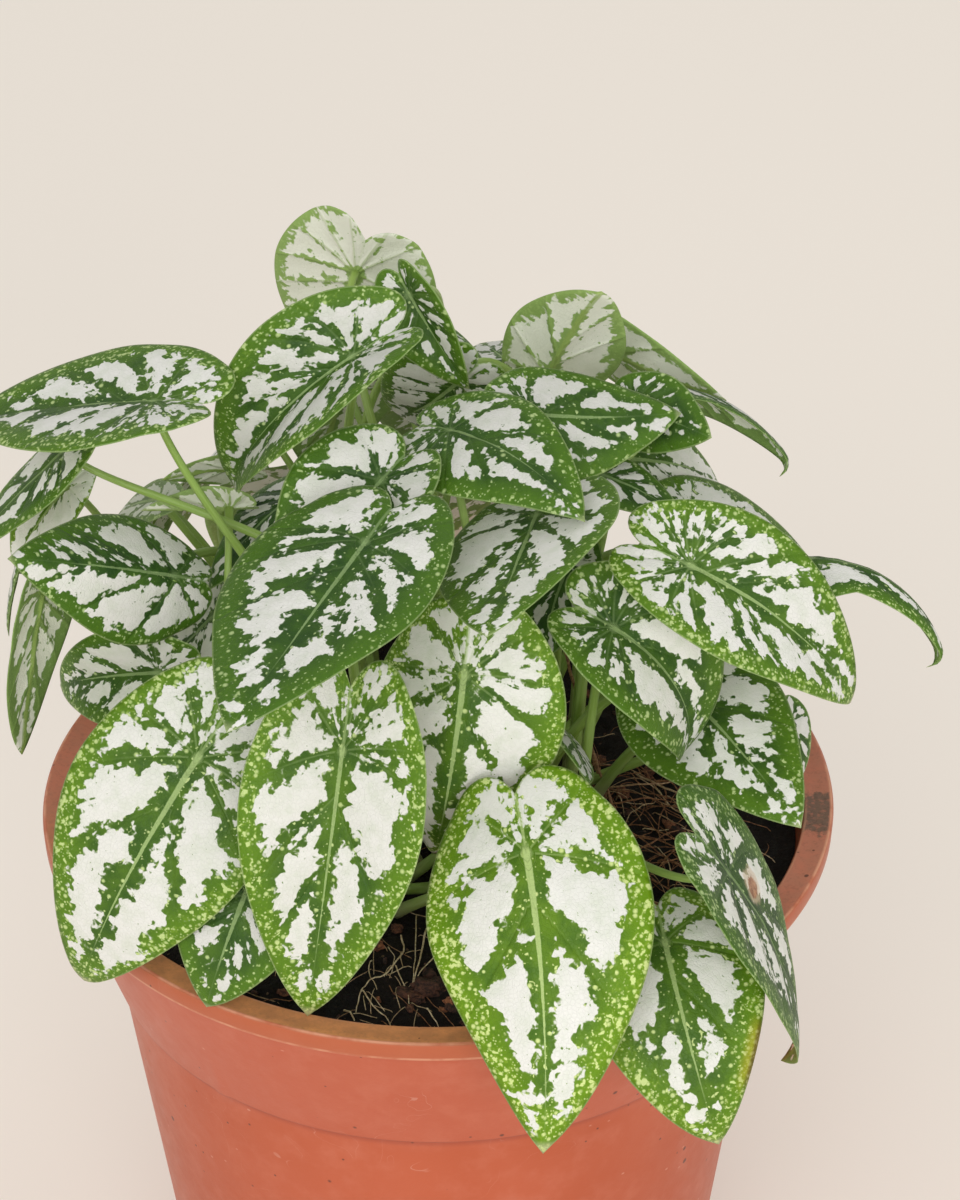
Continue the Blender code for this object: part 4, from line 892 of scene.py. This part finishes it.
    # painted shade: a dark line in the crease of the step, and under it a painted shadow of the step on the body
    step_crease_shade = g.math("MULTIPLY", g.step(g.math("ABSOLUTE", g.math("SUBTRACT", zm, 102.70)), 0.60, 0.20), g.step(r, 71.5, 71.9))
    shade = g.math("MULTIPLY", g.step(g.math("ABSOLUTE", g.math("SUBTRACT", zm, 101.9)), 1.9, 0.3), g.step(r, 71.0, 71.4))
    colour = g.blend(g.math("MULTIPLY", shade, 0.5), colour, (0.33, 0.062, 0.034))
    colour = g.blend(g.math("MULTIPLY", under, 0.45), colour, (0.30, 0.060, 0.032))
    colour = g.blend(g.math("MULTIPLY", step_crease_shade, g.step(g.noise(mm, 0.2, 3.0, 0.6), 0.3, 0.7, 0.5, 0.95)), colour, (0.27, 0.055, 0.030))
    inside = g.math("MULTIPLY", g.step(r, 79.6, 79.2), g.step(zm, 128.0, 129.0))
    colour = g.blend(g.math("MULTIPLY", inside, g.step(dirt, 0.0, 1.0, 0.30, 0.85)), colour, (0.15, 0.060, 0.036))
    colour = g.blend(speck, colour, (0.05, 0.028, 0.02))
    rough = g.math("ADD", g.either(flat, 0.42, 0.66), g.math("MULTIPLY", g.math("SUBTRACT", g.noise(mm, 0.3, 3.0, 0.6), 0.5), 0.2))
    height = g.math("ADD", g.math("MULTIPLY", g.noise(mm, 1.6, 3.0, 0.6), 0.5), g.math("MULTIPLY", speck, 0.6))
    g.bsdf.inputs["Specular IOR Level"].default_value = 0.36
    return g.finish(colour, rough, g.bump(height, 0.3, 0.0002))


def build_pot():
    segments = 288
    verts, faces = turned(POT + POT_INSIDE, segments, pot_wobble)
    pot = make_object("pot_look", verts, faces, [pot_material()], angle=34.0)
    bm = bmesh.new()
    for x, y, r in DRAINS:
        made = bmesh.ops.create_cone(bm, cap_ends=True, cap_tris=False, segments=40, radius1=r * MM, radius2=r * MM, depth=0.012)
        bmesh.ops.translate(bm, verts=made["verts"], vec=(x * MM, y * MM, 0.0))
    mesh = bpy.data.meshes.new("drain_tool")
    bm.to_mesh(mesh)
    bm.free()
    tool = bpy.data.objects.new("drain_tool", mesh)
    bpy.context.scene.collection.objects.link(tool)
    mod = pot.modifiers.new("drains", "BOOLEAN")
    mod.operation, mod.solver, mod.object = "DIFFERENCE", "EXACT", tool
    bpy.context.view_layer.update()
    cut = bpy.data.meshes.new_from_object(pot.evaluated_get(bpy.context.evaluated_depsgraph_get()))
    pot.modifiers.clear()
    pot.data = cut
    bpy.data.objects.remove(tool, do_unlink=True)
    cut.shade_smooth()
    cut.set_sharp_from_angle(angle=math.radians(34.0))
    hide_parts("pot")
    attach(pot, "root")


# ------------------------------------------------------------------------- soil


def soil_height(x, y):
    """Lumpy surface in millimetres, with the flat middle as its mean."""
    r = math.hypot(x, y)
    base = 132.0 - 1.5 * max(0.0, min(1.0, (r - 42.0) / 36.0)) ** 1.5
    p = Vector((x, y, 0.0))
    h = 1.15 * noise.fractal(p * 0.045, 1.0, 2.0, 3)
    h += 1.25 * noise.fractal(p * 0.16 + Vector((7, 3, 1)), 0.9, 2.1, 4)
    h += 0.75 * noise.fractal(p * 0.50 + Vector((1, 9, 4)), 0.7, 2.1, 3)
    lumps = noise.voronoi(p * 0.21, distance_metric="DISTANCE", exponent=2.5)[0][0]
    h += 0.75 * (0.45 - min(lumps, 0.9))
    grit = noise.voronoi(p * 0.62 + Vector((3, 3, 3)), distance_metric="DISTANCE", exponent=2.5)[0][0]
    h += 0.30 * (0.45 - min(grit, 0.9))
    edge = min(1.0, max(0.0, (78.0 - r) / 4.0))
    return base + h * (0.35 + 0.65 * edge)


def soil_material():
    g = Graph("moist_soil")
    mm = g.vec("SCALE", g.coords(), scale=1000.0)
    _, _, zm = g.split(mm)
    a = g.noise(mm, 0.25, 4.0, 0.65)
    b = g.noise(mm, 1.4, 4.0, 0.7)
    colour = g.blend(g.step(a, 0.3, 0.7), (0.0035, 0.0024, 0.0020), (0.013, 0.0080, 0.0058))
    colour = g.blend(g.step(b, 0.55, 0.78, 0.0, 0.85), colour, (0.060, 0.034, 0.021))
    bits = g.cells(mm, 0.8)
    lot = g.split(bits.outputs["Color"])
    chip = g.math("MULTIPLY", g.step(bits.outputs["Distance"], 0.34, 0.2), g.math("LESS_THAN", lot[0], 0.055))
    colour = g.blend(g.math("MULTIPLY", chip, 0.75), colour, g.blend(lot[1], (0.12, 0.055, 0.03), (0.28, 0.19, 0.12)))
    height = g.math("ADD", g.math("MULTIPLY", b, 1.0), g.math("MULTIPLY", bits.outputs["Distance"], 0.6))
    g.bsdf.inputs["Specular IOR Level"].default_value = 0.3
    return g.finish(colour, g.step(a, 0.3, 0.7, 0.62, 0.9), g.bump(height, 1.0, 0.0011))


def build_soil():
    segments = 220
    rings = [1.2, 3.5] + list(np.linspace(6.0, 77.0, 62)) + [78.1]
    verts, faces = [(0.0, 0.0, soil_height(0.0, 0.0))], []
    for r in rings:
        for j in range(segments):
            a = 2 * math.pi * j / segments
            x, y = r * math.cos(a), r * math.sin(a)
            verts.append((x, y, soil_height(x, y) if r < 78.0 else 130.4))
    for r, z in ((70.84, 103.7), (69.84, 102.4), (57.8, 2.5)):
        for j in range(segments):
            a = 2 * math.pi * j / segments
            verts.append((r * math.cos(a), r * math.sin(a), z))
    count = len(rings) + 3
    verts.append((0.0, 0.0, 2.5))
    for j in range(segments):
        k = (j + 1) % segments
        faces.append((0, 1 + j, 1 + k))
        for i in range(count - 1):
            a = 1 + i * segments
            faces.append((a + j, a + segments + j, a + segments + k, a + k))
        a = 1 + (count - 1) * segments
        faces.append((a + j, len(verts) - 1, a + k))
    soil = make_object("soil_look", verts, faces, [soil_material()], angle=50.0)
    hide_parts("soil")
    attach(soil, "root")


# ----------------------------------------------------------- roots, bark, twigs


def root_material():
    g = Graph("dry_roots")
    mm = g.attr("leaf_mm")
    t, kind, _ = g.split(g.attr("leaf_uv"))
    streak = g.noise(mm, 1.3, 3.0, 0.6)
    pale = g.blend(g.step(streak, 0.35, 0.7), (0.48, 0.34, 0.18), (0.86, 0.74, 0.50))
    tan = g.blend(g.step(streak, 0.35, 0.7), (0.150, 0.060, 0.028), (0.40, 0.200, 0.090))
    colour = g.blend(kind, tan, pale)
    return g.finish(colour, 0.8, g.bump(streak, 0.4, 0.0002))


def bark_material():
    g = Graph("bark_bits")
    mm = g.vec("SCALE", g.coords(), scale=1000.0)
    _, kind, _ = g.split(g.attr("leaf_uv"))
    grain = g.noise(mm, 1.1, 4.0, 0.65)
    dark = g.blend(g.step(grain, 0.35, 0.65), (0.016, 0.008, 0.006), (0.105, 0.042, 0.026))
    warm = g.blend(g.step(grain, 0.35, 0.65), (0.13, 0.042, 0.018), (0.44, 0.17, 0.075))
    return g.finish(g.blend(kind, dark, warm), 0.75, g.bump(grain, 1.0, 0.0009))


def merge(name, parts, mats):
    """One object of many small closed pieces: (verts, faces, along, kind)."""
    verts, faces, uv, mm = [], [], [], []
    off = 0
    for index, (pv, pf, t, kind) in enumerate(parts):
        verts.append(pv)
        faces += [tuple(i + off for i in f) for f in pf]
        off += len(pv)
        uv.append(np.c_[t, np.full(len(pv), kind), np.zeros(len(pv))])
        mm.append(pv + index * 7.7)
    obj = make_object(name, np.vstack(verts), faces, mats, angle=60.0)
    set_vectors(obj.data, "leaf_uv", np.vstack(uv))
    set_vectors(obj.data, "leaf_mm", np.vstack(mm))
    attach(obj, "root")
    return obj


def root_piece(rng, x, y, heading, length, r0, kind, lift=0.25, wander=0.35, rise=0.0):
    n = max(6, int(length / 1.3))
    pts = []
    a = heading
    drift = 0.0
    for k in range(n + 1):
        t = k / n
        pts.append((x, y, soil_height(x, y) + lift * (0.4 + math.sin(math.pi * t)) + rise * math.sin(math.pi * t)))
        drift = 0.75 * drift + rng.normal(0, wander) * 0.35
        a += drift
        x += math.cos(a) * length / n
        y += math.sin(a) * length / n
        if math.hypot(x, y) > 76.0:
            break
    pts = np.array(pts)
    if len(pts) < 4:
        return None
    pts[1:-1, 2] = 0.5 * pts[1:-1, 2] + 0.25 * (pts[:-2, 2] + pts[2:, 2])
    pts[0, 2] -= 0.8
    pts[-1, 2] -= 0.8
    t = np.linspace(0, 1, len(pts))
    radii = r0 * (1.0 - 0.62 * t) * (1 + 0.15 * rng.normal(size=len(pts)).clip(-1, 1))
    v, f = tube(pts, np.maximum(radii, 0.09), 6, np.array((0.0, 0.0, 1.0)) + np.array((0.31, 0.17, 0.0)))
    return v, f, np.repeat(t, 6), kind


# roots that show in front of the stalks, in millimetres on the soil, and their thickness
FRONT_ROOTS = (
    (((-2.2, -39.4), (-3.6, -50.3), (-5.2, -60.4)), 0.24), (((-4.4, -34.6), (-4.6, -50.0), (-5.0, -57.4)), 0.15),
    (((-7.7, -42.4), (-7.1, -48.5), (-10.7, -56.0), (-14.0, -57.4), (-15.8, -61.9), (-16.6, -66.2)), 0.20),
    (((-13.5, -49.3), (-14.1, -54.5), (-12.3, -59.3)), 0.15), (((-19.2, -64.1), (-16.5, -68.4)), 0.26),
    (((-15.8, -58.9), (-12.9, -64.8), (-9.0, -69.2)), 0.19), (((0.1, -47.7), (-3.2, -53.7), (-5.0, -58.9)), 0.17),
    (((-8.9, -52.2), (-5.9, -60.3), (-5.8, -64.8)), 0.14), (((-2.1, -64.8), (-0.7, -67.6), (0.6, -69.8)), 0.17),
    (((-10.5, -46.3), (-8.9, -51.3), (-9.7, -56.1)), 0.12), (((-1.2, -39.7), (-1.6, -44.7), (0.2, -49.6)), 0.14),
)


def root_path(rng, path, r0, kind, lift):
    """A root along given points, bowed a little and lying on the soil, with both ends in it."""
    p = np.array(path)
    pts = []
    for i in range(len(p) - 1):
        a, b, c, d = p[max(i - 1, 0)], p[i], p[i + 1], p[min(i + 2, len(p) - 1)]
        for t in np.linspace(0, 1, 7, endpoint=False):
            pts.append(0.5 * ((2 * b) + (c - a) * t + (2 * a - 5 * b + 4 * c - d) * t * t + (-a + 3 * b - 3 * c + d) * t ** 3))
    pts.append(p[-1])
    pts = np.array(pts) + 0.10 * rng.normal(size=(len(pts), 2))
    t = np.linspace(0, 1, len(pts))
    z = np.array([soil_height(x, y) for x, y in pts]) + lift * np.sin(math.pi * t) + 0.15
    line = np.c_[pts, z]
    line[1:-1] = 0.5 * line[1:-1] + 0.25 * (line[:-2] + line[2:])
    line[0, 2] -= 0.8
    line[-1, 2] -= 0.8
    v, f = tube(line, r0 * (1.0 - 0.5 * t), 6, np.array((0.31, 0.17, 1.0)))
    return v, f, np.repeat(t, 6), kind


def lump(rng, x, y, size, kind, flat=0.6, sink=0.35):
    bm = bmesh.new()
    bmesh.ops.create_icosphere(bm, subdivisions=3 if size > 1.5 else 2, radius=1.0)
    stretch = (size * rng.uniform(0.7, 1.3), size * rng.uniform(0.45, 0.8), size * flat * rng.uniform(0.6, 1.0))
    turn = rng.uniform(0, 2 * math.pi)
    shift = Vector((rng.uniform(-50, 50), rng.uniform(-50, 50), rng.uniform(-50, 50)))
    z0 = soil_height(x, y) + stretch[2] * (1 - 2 * sink)
    verts = []
    for w in bm.verts:
        p = w.co * (1.0 + 0.55 * noise.fractal(w.co * 1.1 + shift, 0.75, 2.2, 4))
        chip = noise.voronoi(w.co * 1.4 + shift, distance_metric="DISTANCE", exponent=2.5)[0]
        p = p * (0.82 + 0.5 * min(chip[1] - chip[0], 0.6))
        px, py, pz = p.x * stretch[0], p.y * stretch[1], p.z * stretch[2]
        verts.append((x + px * math.cos(turn) - py * math.sin(turn), y + px * math.sin(turn) + py * math.cos(turn), z0 + pz))
    faces = [tuple(w.index for w in f.verts) for f in bm.faces]
    bm.free()
    return np.array(verts), faces, np.zeros(len(verts)), kind


def build_litter():
    rng = np.random.RandomState(21)
    roots = []

    def add(*args, **kw):
        piece = root_piece(rng, *args, **kw)
        if piece:
            roots.append(piece)

    count = 150
    for _ in range(count):
        r, a = 76.0 * math.sqrt(rng.uniform(0, 1)), rng.uniform(0, 2 * math.pi)
        add(r * math.cos(a), r * math.sin(a), rng.uniform(0, 2 * math.pi), rng.uniform(6, 20), rng.uniform(0.08, 0.15),
            float(rng.uniform() < 0.25) * rng.uniform(0.2, 0.7), rise=rng.uniform(-0.3, 0.8), wander=0.22)
    # pale roots in front of the stalks, laid where they run, with fine side roots
    for path, rad in FRONT_ROOTS:
        roots.append(root_path(rng, path, rad, 1.0, 0.75))
        for _ in range(2):
            k = rng.randint(0, len(path) - 1)
            (xa, ya), (xb, yb) = path[k], path[k + 1]
            s = rng.uniform(0.2, 0.9)
            head = math.atan2(yb - ya, xb - xa) + rng.choice((-1, 1)) * rng.uniform(0.4, 1.1)
            add(xa + s * (xb - xa), ya + s * (yb - ya), head, rng.uniform(3, 9), rad * rng.uniform(0.3, 0.5), rng.uniform(0.3, 0.9),
                rise=rng.uniform(0.0, 0.4), lift=0.2, wander=0.22)
    for _ in range(14):
        x, y = rng.uniform(-24, 8), rng.uniform(-70, -40)
        add(x, y, rng.uniform(-2.4, -0.7), rng.uniform(5, 14), rng.uniform(0.06, 0.11), rng.uniform(0.2, 0.8), rise=rng.uniform(0.0, 0.6), wander=0.2)
    # brown ones among the stalks at the right, a loose straw-like tangle, most of it lying one way
    for _ in range(88):
        x, y = rng.uniform(28, 54), rng.uniform(-22, 32)
        add(x, y, math.radians(rng.normal(-52, 27)), rng.uniform(8, 34), 0.10 + 0.20 * rng.uniform() ** 2, float(rng.uniform() < 0.35) * rng.uniform(0.2, 0.85),
            rise=rng.uniform(0.3, 4.5), lift=0.6, wander=rng.uniform(0.05, 0.34))
    for _ in range(52):
        x, y = rng.uniform(20, 62), rng.uniform(-46, 20)
        if math.hypot(x, y) > 72:
            continue
        add(x, y, rng.uniform(-3.1, 3.1), rng.uniform(7, 20), rng.uniform(0.09, 0.18), float(rng.uniform() < 0.4) * rng.uniform(0.3, 0.9),
            rise=rng.uniform(0.2, 2.5), lift=0.5, wander=rng.uniform(0.1, 0.35))
    # two dry stems, standing among the stalks and leaning
    for foot, knee, top, rad in (((36.5, 6.1), (33.5, 2.5, 150.0), (27.0, 0.5, 176.0), 0.52), ((39.0, 1.0), (35.5, 3.0, 141.0), (30.5, 6.5, 157.0), 0.34)):
        s = np.linspace(0, 1, 26)[:, None]
        ends = [np.array((*foot, 131.4)), np.array(knee), np.array(top)]
        line = (1 - s) ** 2 * ends[0] + 2 * s * (1 - s) * ends[1] + s * s * ends[2]
        line[1:-1] += 0.28 * rng.normal(size=(24, 3))
        line[1:-1] = 0.5 * line[1:-1] + 0.25 * (line[:-2] + line[2:])
        v, f = tube(line, rad * (1.15 - 0.55 * s[:, 0]), 7, np.array((1.0, 0.2, 0.0)))
        roots.append((v, f, np.repeat(s[:, 0], 7), 0.12))
    merge("surface_roots", roots, [root_material()])
    bits = [lump(rng, -12.6, -46.2, 2.1, 0.8), lump(rng, -1.6, -58.6, 3.4, 0.05, flat=0.9), lump(rng, -5.2, -60.5, 2.2, 0.15, flat=0.8),
            lump(rng, 2.6, -63.6, 1.6, 1.0, flat=1.0), lump(rng, 1.4, -65.2, 1.2, 0.9), lump(rng, -12.0, -61.9, 0.9, 0.7), lump(rng, -8.5, -41.0, 1.8, 0.35),
            lump(rng, -5.4, -65.0, 1.3, 0.3), lump(rng, 4.5, -55.0, 1.5, 0.3), lump(rng, 40.5, 8.0, 2.0, 0.55), lump(rng, 47.0, 16.5, 2.4, 0.35),
            lump(rng, 50.5, -4.0, 1.9, 0.7), lump(rng, 36.0, 22.0, 1.7, 0.45), lump(rng, 55.0, 6.0, 2.2, 0.25)]
    for _ in range(120):
        r, a = 74.0 * math.sqrt(rng.uniform(0.02, 1)), rng.uniform(0, 2 * math.pi)
        bits.append(lump(rng, r * math.cos(a), r * math.sin(a), rng.uniform(0.7, 2.3), float(rng.uniform() < 0.25) * rng.uniform(0.4, 1.0)))
    merge("bark_bits", bits, [bark_material()])


build_pot()
build_soil()
build_litter()

# ------------------------------------------------------------- floor and lights
def stage_material():
    g = Graph("backdrop")
    g.put(g.bsdf.inputs["Base Color"], (0.66, 0.615, 0.56, 1.0))
    g.put(g.bsdf.inputs["Roughness"], 0.9)
    g.put(g.bsdf.inputs["Emission Color"], (0.92, 0.85, 0.765, 1.0))
    g.put(g.bsdf.inputs["Emission Strength"], 0.29)
    g.bsdf.inputs["Specular IOR Level"].default_value = 0.1
    return g.mat


def backdrop():
    verts = [(-9000.0, -9000.0, -0.05), (9000.0, -9000.0, -0.05), (9000.0, 9000.0, -0.05), (-9000.0, 9000.0, -0.05)]
    floor = make_object("floor", verts, [(0, 1, 2, 3)], [stage_material()], smooth=False)


def area(name, at, target, size, watts, colour=(1.0, 1.0, 1.0)):
    lamp = bpy.data.lights.new(name, "AREA")
    lamp.shape = "DISK"
    lamp.size = size
    lamp.energy = watts
    lamp.color = colour
    obj = bpy.data.objects.new(name, lamp)
    obj.location = at
    obj.rotation_euler = (Vector(target) - Vector(at)).to_track_quat("-Z", "Y").to_euler()
    bpy.context.scene.collection.objects.link(obj)


backdrop()
area("key", (-0.70, -2.375, 2.12), (0.0, 0.0, 0.17), 1.75, 27.0, (1.0, 0.99, 0.97))
area("fill", (0.75, -2.60, 0.95), (0.0, 0.0, 0.12), 1.4, 20.5, (1.0, 0.99, 0.98))
world = bpy.data.worlds.new("studio")
world.use_nodes = True
back = world.node_tree.nodes["Background"]
back.inputs["Color"].default_value = (1.0, 0.985, 0.96, 1.0)
back.inputs["Strength"].default_value = 0.66
bpy.context.scene.world = world

# ----------------------------------------------------------------------- camera
tilt, spin = math.radians(33.23), math.radians(-0.32)
ahead = Vector((0.0, math.cos(tilt), -math.sin(tilt)))
right0, up0 = Vector((1.0, 0.0, 0.0)), Vector((0.0, math.sin(tilt), math.cos(tilt)))
right = math.cos(spin) * right0 + math.sin(spin) * up0
above = -math.sin(spin) * right0 + math.cos(spin) * up0
lens = bpy.data.cameras.new("view")
lens.sensor_fit = "HORIZONTAL"
lens.sensor_width = 36.0
lens.lens = 131.25
lens.clip_start, lens.clip_end = 0.05, 20.0
camera = bpy.data.objects.new("view", lens)
place = (Vector((9.31, 0.0, 188.87)) - 737.4 * ahead) * MM
camera.matrix_world = Matrix(((right.x, above.x, -ahead.x, place.x), (right.y, above.y, -ahead.y, place.y),
                              (right.z, above.z, -ahead.z, place.z), (0.0, 0.0, 0.0, 1.0)))
bpy.context.scene.collection.objects.link(camera)
bpy.context.scene.camera = camera
bpy.context.scene.view_settings.view_transform = "Standard"
